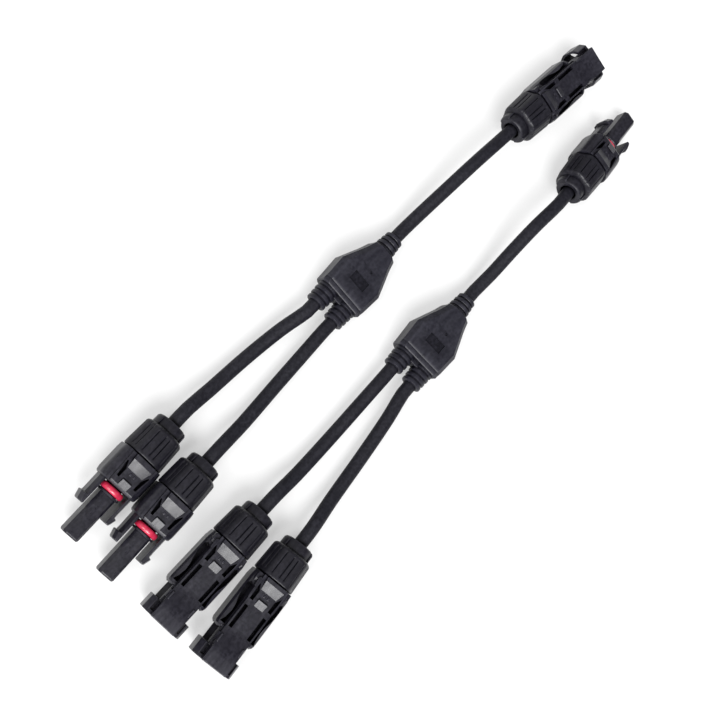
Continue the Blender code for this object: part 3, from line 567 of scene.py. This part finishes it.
HOUSING = moulded("housing_plastic", (0.0048, 0.0044, 0.0078), (0.0150, 0.0142, 0.0205),
                  (0.045, 0.044, 0.058), 0.31, 0.16, 0.008, 0.30)
NUT = moulded("nut_plastic", (0.0045, 0.0042, 0.0070), (0.0125, 0.0118, 0.0170),
              (0.038, 0.037, 0.048), 0.40, 0.20, 0.014, 0.26)
RUBBER = moulded("moulding_rubber", (0.0045, 0.0043, 0.0080), (0.0130, 0.0127, 0.0190),
                 (0.038, 0.037, 0.050), 0.42, 0.22, 0.014, 0.28)
JACKET = moulded("jacket_rubber", (0.0045, 0.0043, 0.0072), (0.0125, 0.0121, 0.0170),
                 (0.032, 0.031, 0.040), 0.56, 0.18, 0.018, 0.18)
PLAQUE = moulded("plaque_rubber", (0.0028, 0.0027, 0.0050), (0.0100, 0.0096, 0.0145),
                 (0.030, 0.030, 0.040), 0.58, 0.45, 0.05, 0.12)
CAGE = moulded("cage_polymer", (0.030, 0.030, 0.034), (0.042, 0.042, 0.046),
               (0.09, 0.09, 0.10), 0.48, 0.2, 0.01, 0.35)
RED = silicone("red_silicone", (0.32, 0.010, 0.034), (0.48, 0.024, 0.066), 0.32, 0.25)
GREY = silicone("grey_silicone", (0.10, 0.10, 0.10), (0.14, 0.14, 0.14), 0.55, 0.0)
TINNED = metal("tinned_copper", (0.62, 0.60, 0.56), (0.78, 0.76, 0.72), 0.30, 0.12)
COPPER = metal("bare_copper", (0.62, 0.26, 0.13), (0.78, 0.38, 0.22), 0.36, 0.3, (0.05, 1.0, 1.0))


# ================================================================ housings
def slots(outlines, panel):
    """Deep narrow slots on both faces and both sides."""
    return [('DIFFERENCE', plate(outline, panel - SLOT_DEPTH, panel + 2.2, bevel=0.12, planes="yz"))
            for outline in outlines]


def ramp_and_boss(panel, boss, ramp):
    """Ramp pad up to the nut's height, a small sloping boss and two bumps between them."""
    sunk = panel - 1.2
    start, top = ramp
    low, high = boss
    boss_side = [(low, sunk), (low, panel - 0.05), (high - 0.25, panel + 0.92),
                 (high, panel + 0.6), (high, sunk)]
    return [
        ('UNION', loft([
            (start, crowned(4.0, panel + 0.1, sunk)), (top - 0.1, crowned(4.75, 9.42, sunk)),
            (BODY_END - 0.15, crowned(4.85, 9.5, sunk))], bevel=0.2, planes="z")),
        ('UNION', plate(boss_side, -BOSS_HALF, BOSS_HALF, axis='Y', bevel=0.14, planes="z")),
        ('UNION', box((start - 1.75, 0.5, sunk), (start - 0.6, 1.4, panel + 0.34), bevel=0.16,
                      planes="yz")),
    ]


def spigot():
    """Threaded spigot that the cap nut screws onto."""
    start, end = BODY_END - 1.0, SPIGOT_END
    slope, below = THREAD_FLANK

    def radius(s, angle):
        turn = (s / THREAD_PITCH - angle / math.tau) % 1.0
        flank = min(1.0, max(0.0, slope * abs(2 * turn - 1) - below))
        fade = min(1.0, max(0.0, (end - s) / 1.2), max(0.0, (s - BODY_END) / 0.8))
        return SPIGOT_RADIUS - THREAD_DEPTH * (1.0 - flank * max(0.0, fade))

    stations = [start + (end - start) * i / (THREAD_ROWS - 1) for i in range(THREAD_ROWS)]
    bore = CHAMBER_RADIUS - 1
    return surface_of_turn(stations, radius, 60, [(end, bore), (start, bore)])


def contact_bore(*profile):
    """The bore along the axis; its profile ends with the chamber for the cable seal."""
    return ('DIFFERENCE', turned([*profile, (CHAMBER_START, CHAMBER_RADIUS),
                                  (SPIGOT_END + 1.0, CHAMBER_RADIUS), (SPIGOT_END + 1.0, 0.0)], 72))


def arm_spaces(start, end):
    """Room for the two latch arms, on both sides of the axis."""
    band = sector(ARM_INNER - CHANNEL_SPARE, ARM_OUTER + CHANNEL_SPARE, CHANNEL_HALF_ANGLE)
    return ('DIFFERENCE', loft([(start, band), (end, band)], planes="y"))


def shell_mesh():
    """Housing with a flanged mouth, a notched neck, wings, rails and open side windows."""
    # Core whose panel sinks smoothly from the flange to the level part.
    core = loft([(0.0, rectangle(6.03, 9.2)),
                 (5.0, rectangle(6.08, 9.18)), (7.0, rectangle(6.1, 9.0)),
                 (9.5, rectangle(6.14, 8.6)), (12.0, rectangle(6.18, 8.24)),
                 (14.5, rectangle(6.24, 8.05)), (17.0, rectangle(6.3, SHELL_PANEL)),
                 (BODY_END, rectangle(6.3, SHELL_PANEL))], bevel=0.35)
    flange = eightfold((HALF_WIDTH, 3.3), (8.05, 6.35), (4.8, 6.95))
    neck = eightfold((7.3, 3.8), (6.85, 6.3), (4.7, 6.6))
    wing = eightfold((HALF_WIDTH, 3.2), (9.05, 4.75), (7.5, 5.95), (4.9, 6.15))
    tab = [(6.9, 6.0), (6.7, 6.9), (5.7, 8.85), (5.1, 8.85), (4.4, 7.5), (4.4, 5.0)]
    recess = [(15.5, 6.55), (15.5, 8.75), (17.5, 8.0), (21.0, 7.55), (24.0, 7.85), (27.0, 8.7),
              (30.0, 9.1), (33.4, 9.1), (34.6, 8.2), (33.6, 6.55)]
    rail = [(29.0, 5.5), (29.0, 6.42), (37.4, 7.3), (38.0, 6.5), (37.4, 5.7)]
    return combined(core, [
        # Mouth flange with a notch in each corner, then the neck and its four tabs.
        ('UNION', loft([(0.1, flange), (6.4, flange)], bevel=0.28)),
        ('DIFFERENCE', box((1.6, 5.95, 5.7), (7.2, 7.65, 10.0), bevel=0.2, planes="yz")),
        ('UNION', loft([(5.9, neck), (15.0, neck)], bevel=0.2)),
        ('UNION', loft([(8.7, tab), (12.3, tab)], bevel=0.18, planes="yz")),
        # Wings: a slanting wedge at the front, side plates, then pads beside the nut.
        ('UNION', loft([
            (13.0, eightfold((8.2, 2.2), (7.75, 3.6), (6.9, 4.6), (5.0, 5.0))),
            (14.3, eightfold((9.35, 3.0), (8.75, 4.6), (7.4, 5.95), (4.95, 6.3))), (15.4, wing),
            (36.4, wing),
            (BODY_END - 0.1, eightfold((9.2, 3.0), (8.7, 4.5), (7.3, 5.7), (4.9, 6.0)))], bevel=0.2)),
        ('UNION', loft([
            (35.2, eightfold((9.0, 2.8), (8.1, 5.6), (4.8, 6.05))),
            (36.8, eightfold((9.1, 2.9), (8.4, 6.3), (4.8, 6.8))),
            (BODY_END - 0.2, eightfold((9.0, 2.9), (8.3, 6.4), (4.8, 6.95)))], bevel=0.25)),
        # Rails beside the slots, the windows cut into each side, and what stands on the panel.
        ('UNION', plate(rail, 5.2, 7.9, bevel=0.16, planes="yz",
                        top=lambda x, y: 8.05 - 0.5 * max(0.0, y - 5.9))),
        ('DIFFERENCE', plate(recess, 1.2, 9.0, bevel=0.15, planes="yz")),
        *slots(([(15.8, 3.9), (26.2, 3.9), (26.2, 5.55), (15.8, 5.55)],
                [(28.8, 3.9), (33.2, 3.9), (36.0, 5.6), (34.4, 5.75), (28.8, 5.5)]), SHELL_PANEL),
        *ramp_and_boss(SHELL_PANEL, SHELL_BOSS, SHELL_RAMP),
        ('UNION', spigot()),
        contact_bore((-1.0, 0.0), (-1.0, MOUTH_RADIUS + 1.4), (0.4, MOUTH_RADIUS + 0.05),
                     (0.6, MOUTH_RADIUS), (MOUTH_DEPTH, MOUTH_RADIUS),
                     (MOUTH_DEPTH + 0.6, SHELL_BORE_RADIUS), (SHELL_BORE_END, SHELL_BORE_RADIUS),
                     (SHELL_BORE_END, SHELL_INNER_BORE), (CHAMBER_START, SHELL_INNER_BORE)),
        arm_spaces(-1.0, SHELL_CHANNEL_END)])


def probe_mesh():
    """Housing with a square nose, a seat for the seal ring and a winged collar."""
    collar = loft([(COLLAR_START, rounded_wing(8.9, 1.8, 6.0, 6.6)),
                   (COLLAR_START + 0.5, rounded_wing(9.35, 2.0, 6.2, 6.9)),
                   (COLLAR_START + 2.2, rounded_wing(HALF_WIDTH, 2.2, 6.2, 7.0)),
                   (BODY_END - 2.0, rounded_wing(HALF_WIDTH, 2.6, 6.2, 7.2)),
                   (BODY_END, rounded_wing(9.4, 2.6, 6.2, 7.2))])
    square = chamfered(NOSE_HALF, NOSE_CHAMFER)
    tip = chamfered(NOSE_HALF - 0.35, NOSE_CHAMFER - 0.1)
    flange_start, flange_end = RING_FLANGE
    flange_bore = BARREL_RADIUS + 1.5
    return combined(collar, [
        # Panel, nose, and the flange in front of the ring's seat.
        ('UNION', loft([(COLLAR_START - 0.05, rectangle(5.5, 7.35)),
                        (COLLAR_START + 1.0, rectangle(5.95, PROBE_PANEL)),
                        (33.0, rectangle(6.3, PROBE_PANEL)),
                        (BODY_END - 0.1, rectangle(6.6, 8.0))], bevel=0.28)),
        ('UNION', loft([(0.0, tip), (0.7, square), (flange_start + 0.3, square)], bevel=0.14)),
        ('UNION', turned([
            (flange_start, 0.0), (flange_start, RING_FLANGE_RADIUS - 0.2),
            (flange_start + 0.2, RING_FLANGE_RADIUS), (flange_end - 0.15, RING_FLANGE_RADIUS),
            (flange_end, RING_FLANGE_RADIUS - 0.15), (flange_end, RING_SEAT_RADIUS),
            (COLLAR_START + 1.0, RING_SEAT_RADIUS), (COLLAR_START + 1.0, 0.0)], 72)),
        *slots(([(28.4, 3.9), (32.6, 3.9), (35.6, 5.6), (35.2, 6.0), (28.4, 5.1)],), PROBE_PANEL),
        *ramp_and_boss(PROBE_PANEL, PROBE_BOSS, PROBE_RAMP),
        ('UNION', spigot()),
        contact_bore((-1.0, 0.0), (-1.0, NOSE_LIP_RADIUS + 1.2), (0.25, NOSE_LIP_RADIUS),
                     (NOSE_LIP, NOSE_LIP_RADIUS), (NOSE_LIP, NOSE_BORE), (25.9, NOSE_BORE),
                     (25.9, flange_bore), (CHAMBER_START, flange_bore)),
        arm_spaces(COLLAR_START - 1.0, PROBE_POCKET_END)])


def latch_mesh():
    """Springy arm on the +Y side: a flat strap with bevelled edges and a wedge-shaped barb."""
    def at(station, outer, inner=ARM_INNER, half=ARM_HALF_WIDTH):
        upper = [(outer, half - 2.2), (outer - 1.1, half), (inner, half - 0.1)]
        return station, upper + [(y, -z) for y, z in reversed(upper)]

    return mesh_of(loft([
        at(ARM_TIP, ARM_OUTER - 0.4, ARM_INNER + 0.2, ARM_HALF_WIDTH - 0.2),
        at(ARM_TIP + 0.4, ARM_OUTER), at(BARB_PEAK[0], ARM_BARB), at(BARB_PEAK[1], ARM_BARB),
        at(BARB_BACK[0], ARM_OUTER - 0.25), at(BARB_BACK[1], ARM_OUTER - 0.3),
        at(ARM_ROOT, ARM_OUTER - 0.1)], bevel=0.14))


# ================================================================ nuts, seals and contacts
def lobed_grip(s, angle):
    """Radius of the nut's grip: shallow lobes with three fine grooves to each."""
    along = (s - NUT_START) / (NUT_SHOULDER - NUT_START)
    base = NUT_RADIUS + (NUT_END_RADIUS - NUT_RADIUS) * max(0.0, along)
    front = min(1.0, max(0.0, (s - NUT_START) / 0.6))
    base -= 0.45 * (1 - math.sqrt(1 - (1 - front) ** 2))
    lobe_angle = ((angle + math.pi / LOBES) % (math.tau / LOBES)) - math.pi / LOBES
    valley = math.pi / LOBES - abs(lobe_angle)
    near = min(abs(valley - GROOVE_OFFSET), abs(lobe_angle)) / GROOVE_HALF
    groove = GROOVE_DEPTH * (0.5 + 0.5 * math.cos(math.pi * near)) if near < 1.0 else 0.0
    fade = min(1.0, max(0.0, (s - NUT_START - 1.4) / 0.7))
    fade *= min(1.0, max(0.0, (NUT_SHOULDER + 0.4 - s) / 1.0))
    return base + LOBE_HEIGHT * math.cos(lobe_angle * LOBES) - groove * fade


def nut_mesh():
    """Cap nut: a lobed grip, a rounded shoulder and a crown with two tabs."""
    crown_edge = TOTAL_LENGTH - 0.9

    def outer(s, angle):
        if s <= NUT_SHOULDER:
            return lobed_grip(s, angle)
        t = (s - NUT_SHOULDER) / (CROWN_START - NUT_SHOULDER)
        if t <= 1.0:
            top = lobed_grip(NUT_SHOULDER, angle)
            return CROWN_RADIUS + (top - CROWN_RADIUS) * math.sqrt(max(0.0, 1.0 - t ** 2.2))
        return CROWN_RADIUS - 0.7 * max(0.0, (s - crown_edge) / 0.9)

    stations = [NUT_START + d for d in (0.0, 0.08, 0.2, 0.38, 0.6, 1.0, 1.4, 1.75, 2.1)]
    stations += [NUT_START + 2.1 + (8.7 * i / 6) for i in range(1, 7)]
    stations += [NUT_SHOULDER - d for d in (0.9, 0.6, 0.3, 0.0)]
    stations += [NUT_SHOULDER + (CROWN_START - NUT_SHOULDER) * math.sin(math.pi / 2 * i / 9)
                 for i in range(1, 10)]
    stations += [crown_edge, TOTAL_LENGTH]
    body = surface_of_turn(stations, outer, 240, [
        (TOTAL_LENGTH, EXIT_BORE + 0.3), (TOTAL_LENGTH - 0.3, EXIT_BORE),
        (CROWN_START + 0.4, EXIT_BORE), (53.6, 4.9), (THREAD_END, THREAD_BORE),
        (NUT_START + 0.3, THREAD_BORE), (NUT_START, THREAD_BORE + 0.3)])

    # Two broad tabs on the crown, on opposite sides.
    tab = [(s, sector(5.2, r, GRIP_HALF))
           for s, r in ((51.5, 6.9), (53.0, CROWN_TAB_RADIUS), (57.0, CROWN_TAB_RADIUS - 0.1),
                        (57.8, 6.4))]
    return combined(body, [('UNION', loft(tab, bevel=0.25, planes="y"))])


def ring_mesh():
    """Seal ring with a rounded outside."""
    start, end = RING_SEAT[0] + 0.25, RING_SEAT[1] - 0.25
    middle, half = (start + end) / 2, (end - start) / 2
    low, high = RING_SEAT_RADIUS + 0.3, RING_RADIUS
    arc = [(middle - half * math.cos(a), low + 0.35 + (high - low - 0.35) * math.sin(a) ** 0.7)
           for a in (math.pi * i / 16 for i in range(17))]
    return mesh_of(turned([(start, low)] + arc + [(end, low)]))


def pin_mesh():
    """Pin with a rounded tip, a stop and a crimp barrel."""
    flange = SHELL_BORE_END + 0.3
    nose = [(PIN_TIP + PIN_NOSE * (1 - math.cos(a)),
             PIN_TIP_RADIUS + (PIN_RADIUS - PIN_TIP_RADIUS) * math.sin(a))
            for a in (math.pi / 2 * i / 8 for i in range(9))]
    return mesh_of(turned([(PIN_TIP, 0.0)] + nose + [
        (flange, PIN_RADIUS), (flange, BARREL_RADIUS), (CRIMP_END, BARREL_RADIUS),
        (CRIMP_END, CRIMP_BORE), (PIN_CRIMP_START, CRIMP_BORE), (PIN_CRIMP_START, 0.0)], FEW_STEPS))


def socket_mesh():
    """Socket that the pin goes into, slit at the front, with its crimp barrel."""
    start = NOSE_LIP + 0.3
    bottom = start + SOCKET_DEPTH
    bore = PIN_RADIUS + 0.05
    flange_start, flange_end = SOCKET_FLANGE
    body = turned([
        (bottom, 0.0), (bottom, bore), (start + 0.3, bore), (start, bore + 0.3),
        (start, SOCKET_RADIUS - 0.3), (start + 0.9, SOCKET_RADIUS), (flange_start, SOCKET_RADIUS),
        (flange_start, SOCKET_FLANGE_RADIUS), (flange_end, SOCKET_FLANGE_RADIUS),
        (flange_end, BARREL_RADIUS), (CRIMP_END, BARREL_RADIUS), (CRIMP_END, CRIMP_BORE),
        (SOCKET_CRIMP_START, CRIMP_BORE), (SOCKET_CRIMP_START, 0.0)], FEW_STEPS)
    length, half = SOCKET_SLIT
    return combined(body, [('DIFFERENCE', box((0.0, -half, -4.0), (start + length, half, 4.0)))])


def cage_mesh():
    """Slotted collet that the nut squeezes onto the cable."""
    low = JACKET_RADIUS + 0.3
    cage = turned([(CAGE_START, low), (CAGE_START, CAGE_RADIUS - 0.3), (43.1, CAGE_RADIUS),
                   (CAGE_SHOULDER, CAGE_RADIUS), (CAGE_SHOULDER, 6.9),
                   (47.6, CAGE_SHOULDER_RADIUS), (48.6, CAGE_SHOULDER_RADIUS), (53.2, 4.7),
                   (CAGE_END, 4.5), (CAGE_END, low)], 72)

    def radial_cuts(bm):
        for i in range(CAGE_CUTS):
            place = Matrix.Translation((52.0, 5.6, 0.0)) @ Matrix.Diagonal((5.0, 6.4, 0.9, 1.0))
            turn = Matrix.Rotation(math.tau * i / CAGE_CUTS, 4, 'X')
            bmesh.ops.create_cube(bm, size=1.0, matrix=turn @ place)

    return combined(cage, [('DIFFERENCE', new_mesh_object(radial_cuts))])


# ================================================================ Y moulding
def boot(tip, root, radii, offset=0.0):
    """Strain relief with rounded ribs, slimmer towards its tip."""
    pitch = (root - tip) / Y_BOOT_RIBS
    profile = [(tip, 0.0), (tip, radii[0] - 0.55)]
    for i in range(Y_BOOT_RIBS):
        size = radii[0] + (radii[1] - radii[0]) * i / (Y_BOOT_RIBS - 1)
        start = tip + i * pitch
        profile += [(start + pitch * 0.06, size - 0.22), (start + pitch * 0.16, size),
                    (start + pitch * 0.60, size), (start + pitch * 0.72, size - 0.2),
                    (start + pitch * 0.78, size - 0.65), (start + pitch * 0.96, size - 0.65)]
    profile += [(root, radii[1] - 0.6), (root, 0.0)]
    if pitch < 0:
        profile.reverse()
    solid = turned(profile, FEW_STEPS)
    solid.data.transform(Matrix.Translation((0.0, offset, 0.0)))
    return solid


def y_mesh():
    """Flat body with two branch boots, a trunk boot, a step and a sunken plaque."""
    across, down = Y_BEVEL

    def slab(station, half, high=Y_HALF_HIGH):
        """Twelve-cornered section, its bevels eased at the outside."""
        upper = [(half, high - down - 0.3), (half - 0.35, high - down + 0.15),
                 (half - across, high)]
        lower = [(half, down + 0.3 - Y_HALF_HIGH), (half - 0.35, down - 0.15 - Y_HALF_HIGH),
                 (half - across, -Y_HALF_HIGH)]
        return station, (upper + [(-y, z) for y, z in reversed(upper)]
                         + [(-y, z) for y, z in lower] + list(reversed(lower)))

    def side(s):
        """Half width at a station, in straight runs between the waist's points."""
        for (s0, h0), (s1, h1) in zip(Y_WAIST, Y_WAIST[1:]):
            if s <= s1:
                t = (s - s0) / (s1 - s0)
                return h0 + (h1 - h0) * t
        return Y_WAIST[-1][1]

    shelf = Y_HALF_HIGH - Y_STEP_RISE
    start, shoulder = Y_WAIST[0][0], Y_WAIST[-1][0]
    taper = [start + (shoulder - start) * i / 12 for i in range(13)]
    body = loft([slab(Y_BODY_START, Y_END_HALF - 0.6, shelf - 0.3),
                 slab(Y_BODY_START + 0.5, Y_END_HALF, shelf), slab(Y_STEP, Y_END_HALF + 0.1, shelf),
                 slab(Y_STEP + 0.1, Y_END_HALF + 0.1, Y_HALF_HIGH - 0.43),
                 slab(Y_STEP + 1.2, Y_END_HALF + 0.15)]
                + [slab(s, side(s)) for s in taper]
                + [slab(shoulder + 0.5, Y_WAIST[-1][1] - 0.6, Y_HALF_HIGH - 0.3)])
    steps = []
    jacket_bore = JACKET_RADIUS + 0.1
    for offset in (Y_BRANCH_OFFSET, -Y_BRANCH_OFFSET):
        steps.append(('UNION', boot(Y_BOOT_START, Y_BODY_START + 1.2, Y_BOOT_RADII, offset)))
    steps.append(('UNION', boot(Y_TRUNK_BOOT_END, shoulder - 0.6, Y_TRUNK_BOOT_RADII)))
    # Web between the two branch boots, close to the body.
    steps.append(('UNION', box((Y_WEB_START, -2.4, -3.0), (Y_BODY_START + 1.0, 2.4, 3.0),
                               bevel=0.4)))
    for offset in (Y_BRANCH_OFFSET, -Y_BRANCH_OFFSET):
        hole = turned([(Y_BOOT_START - 1.0, 0.0), (Y_BOOT_START - 1.0, jacket_bore),
                       (Y_BRANCH_JACKET_END, jacket_bore), (Y_BRANCH_JACKET_END, 0.0)], 48)
        hole.data.transform(Matrix.Translation((0.0, offset, 0.0)) @ Matrix.Rotation(0.03, 4, 'X'))
        steps.append(('DIFFERENCE', hole))
    steps.append(('DIFFERENCE', turned([
        (Y_TRUNK_JACKET_END, 0.0), (Y_TRUNK_JACKET_END, jacket_bore),
        (Y_TRUNK_BOOT_END + 1.0, jacket_bore), (Y_TRUNK_BOOT_END + 1.0, 0.0)], 48)))
    (low, high), half = Y_PLAQUE
    steps.append(('DIFFERENCE', box((low, -half, Y_HALF_HIGH - Y_PLAQUE_DEPTH),
                                    (high, half, Y_HALF_HIGH + 1.0), bevel=0.14)))
    dimple = turned([(-0.35, 0.0), (-0.35, 0.55), (0.4, 0.8), (0.4, 0.0)], 24)
    dimple.data.transform(Matrix.Translation((3.6, -1.2, Y_HALF_HIGH))
                          @ Matrix.Rotation(-math.pi / 2, 4, 'Y'))
    steps.append(('DIFFERENCE', dimple))
    return combined(body, steps)


def matt_plaque(mesh):
    """Give the floor of the finished Y's sunken plaque its coarser finish."""
    (low, high), half = Y_PLAQUE
    mesh.materials.append(PLAQUE)
    for face in mesh.polygons:
        x, y, z = face.center / MM
        if low < x < high and abs(y) < half and abs(z - Y_HALF_HIGH + Y_PLAQUE_DEPTH) < 0.05:
            face.material_index = 1


# ================================================================ places
def rest_height(kind, climb, roll):
    """Height of the origin that puts the lowest of a piece's corners on Z = 0."""
    turn, slope = math.radians(abs(roll)), math.radians(climb)
    return max((z * math.cos(turn) + y * math.sin(turn)) * math.cos(slope) - s * math.sin(slope)
               for s, y, z in SUPPORT_CORNERS[kind])


def axis_frame(x, y, z, yaw, climb, roll):
    """Where the frame of a piece stands: X is its axis."""
    return (Matrix.Translation(Vector((x, y, z)) * MM) @ Matrix.Rotation(math.radians(yaw), 4, 'Z')
            @ Matrix.Rotation(math.radians(-climb), 4, 'Y')
            @ Matrix.Rotation(math.radians(roll), 4, 'X'))


def smooth_route(points, step):
    """Points about a step apart on a smooth curve through the given points."""
    ahead = points[1:] + [points[-1]]
    behind = [points[0]] + points[:-1]
    headings = [(b - a).normalized() for a, b in zip(behind, ahead)]
    route = []
    for i in range(len(points) - 1):
        start, end = points[i], points[i + 1]
        length = (end - start).length
        pieces = max(1, round(length / step))
        stretch = interpolate_bezier(start, start + headings[i] * length / 3,
                                     end - headings[i + 1] * length / 3, end, pieces + 1)
        route += stretch[:-1]
    return route + [points[-1]]


def cable_route(name, holder, y_frame):
    """The jacket's centreline from inside the connector to inside the Y, in metres."""
    side = {"left": Y_BRANCH_OFFSET, "right": -Y_BRANCH_OFFSET, "trunk": 0.0}[name.split("_")[1]]
    if side:
        stations = (Y_BOOT_START - 5.0, Y_BOOT_START, Y_BRANCH_JACKET_END)
    else:
        stations = (Y_TRUNK_BOOT_END + 5.0, Y_TRUNK_BOOT_END, Y_TRUNK_JACKET_END)
    out = [holder @ Vector((s * MM, 0.0, 0.0))
           for s in (JACKET_TIP, TOTAL_LENGTH, TOTAL_LENGTH + STRAIGHT_BEHIND)]
    middle = [Vector(point) * MM for point in CABLE_MIDS[name]]
    arrive = [y_frame @ Vector((s * MM, side * MM, 0.0)) for s in stations]
    return smooth_route(out + middle + arrive, ROUTE_STEP * MM)


def jacket(name, route, body):
    """Free cable of the lead, from its connector to its Y."""
    data = bpy.data.curves.new(f"{name}_jacket", 'CURVE')
    data.dimensions = '3D'
    data.bevel_depth = JACKET_RADIUS * MM
    data.bevel_resolution = 12
    data.use_fill_caps = True
    spline = data.splines.new('POLY')
    spline.points.add(len(route) - 1)
    for point, place in zip(spline.points, route):
        point.co = (*place, 1.0)
    spline.use_smooth = True
    data.materials.append(JACKET)
    obj = bpy.data.objects.new(f"{name}_jacket", data)
    bpy.context.scene.collection.objects.link(obj)
    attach(obj, body)
    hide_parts(f"{name}_cable_jacket")


# ================================================================ camera
def set_camera():
    """A 40 degree lens, tilted from straight down and turned so that the leads run up to the right."""
    turn = Matrix.Rotation(CAMERA_TURN, 3, 'Z')
    forward = Vector((0.0, math.sin(CAMERA_TILT), -math.cos(CAMERA_TILT)))
    away = Vector((0.0, math.cos(CAMERA_TILT), math.sin(CAMERA_TILT)))
    aside = Vector((1.0, 0.0, 0.0))
    c, s = math.cos(CAMERA_UP), math.sin(CAMERA_UP)
    right = turn @ (away * c + aside * s)
    up = turn @ (away * s - aside * c)
    back = -(turn @ forward)
    data = bpy.data.cameras.new("camera")
    data.sensor_width = SENSOR_MM
    data.lens = LENS_MM
    camera = bpy.data.objects.new("camera", data)
    x, y, z = CAMERA_PLACE
    camera.matrix_world = Matrix((
        (right.x, up.x, back.x, x), (right.y, up.y, back.y, y),
        (right.z, up.z, back.z, z), (0.0, 0.0, 0.0, 1.0)))
    bpy.context.scene.collection.objects.link(camera)
    bpy.context.scene.camera = camera


set_camera()
y_frames = {lead: axis_frame(x, y, rest_height("y", 0.0, roll), yaw, 0.0, roll)
            for lead, (x, y, yaw, roll) in Y_PLACES.items()}
holders = {}
for name, kind, x, y, yaw, climb, roll in CONNECTORS:
    holders[name] = axis_frame(x, y, rest_height(kind, climb, roll), yaw, climb, roll)
    jacket(name, cable_route(name, holders[name], y_frames[name[0]]), f"lead_{name[0]}")


# ================================================================ assembly
shell_body = finished(shell_mesh(), "shell_housing", HOUSING, 14.0)
probe_body = finished(probe_mesh(), "probe_housing", HOUSING, 14.0)
latch = finished(latch_mesh(), "latch_arm", HOUSING, 12.0)
nut = finished(nut_mesh(), "cap_nut", NUT, 50.0)
ring = finished(ring_mesh(), "seal_ring", RED, 60.0)
pin = finished(pin_mesh(), "pin_contact", TINNED)
socket = finished(socket_mesh(), "socket_contact", TINNED)
cage = finished(cage_mesh(), "clamp_cage", CAGE)
moulding = finished(y_mesh(), "y_moulding", RUBBER)
matt_plaque(moulding)

for name, kind, *_ in CONNECTORS:
    lead = f"lead_{name[0]}"
    place = holders[name]
    cad = f"{name}_{kind}"
    if kind == "shell":
        put(shell_body, f"{name}_housing_shell", place, lead, "housing", cad + "_housing")
        put(pin, f"{name}_pin", place, lead, "contact", cad + "_pin_contact")
    else:
        put(probe_body, f"{name}_housing_probe", place, lead, "housing", cad + "_housing")
        put(ring, f"{name}_red_ring", place, lead, "red_seal", cad + "_seal_ring")
        put(socket, f"{name}_socket", place, lead, "contact", cad + "_socket_contact")
        half_turn = Matrix.Rotation(math.pi, 4, 'X')
        for side, turn in (("port", Matrix.Identity(4)), ("starboard", half_turn)):
            put(latch, f"{name}_arm_{side}", place @ turn, f"{name}_latch_{side}", "housing",
                f"{cad}_latch_{side}")
    put(nut, f"{name}_nut", place, f"{name}_cap_nut", "nut", cad + "_cap_nut")
    put(cage, f"{name}_cage", place, f"{name}_clamp_cage", "cage", cad + "_clamp_cage")

for lead, place in y_frames.items():
    put(moulding, f"{lead}_y_body", place, f"lead_{lead}", "moulding", f"{lead}_y_moulding")

INNER_MATERIALS = {"cable_seal": GREY, "splice_sleeve": TINNED, "copper_core": COPPER}
for node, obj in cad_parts.items():
    for ending, material in INNER_MATERIALS.items():
        if node.endswith(ending):
            obj.data.materials.clear()
            obj.data.materials.append(material)


# ================================================================ studio
def studio_light():
    """Pale sky that is a little brighter overhead and dimmer towards +X, and broad suns."""
    world = bpy.data.worlds.new("studio")
    world.use_nodes = True
    tree = world.node_tree
    way = linked(tree, "ShaderNodeTexCoord").outputs["Generated"]
    split = linked(tree, "ShaderNodeSeparateXYZ", {"Vector": way})
    height = spread(tree, split.outputs["Z"], 0.15, 1.0, SKY_LOW, SKY_HIGH)
    aside = spread(tree, split.outputs["X"], -0.8, 0.8, SKY_LEFT, SKY_RIGHT)
    strength = linked(tree, "ShaderNodeMath", {0: height, 1: aside}, operation='MULTIPLY')
    background = tree.nodes["Background"]
    background.inputs["Color"].default_value = (1.0, 1.0, 1.0, 1.0)
    tree.links.new(strength.outputs[0], background.inputs["Strength"])
    bpy.context.scene.world = world
    for name, towards, strength, width in SUNS:
        light = bpy.data.lights.new(name, 'SUN')
        light.energy = strength
        light.angle = math.radians(width)
        lamp = bpy.data.objects.new(name, light)
        lamp.rotation_euler = Vector(towards).to_track_quat('Z', 'Y').to_euler()
        bpy.context.scene.collection.objects.link(lamp)


def studio_floor():
    """Pale sheet just under the leads."""
    def grid(bm):
        bmesh.ops.create_grid(bm, x_segments=8, y_segments=8, size=3.0)

    ground = new_mesh_object(grid, "floor")
    ground.location.z = -0.0001
    ground.data.materials.append(paper_floor("paper"))


studio_floor()
studio_light()
bpy.context.scene.view_settings.view_transform = 'Standard'
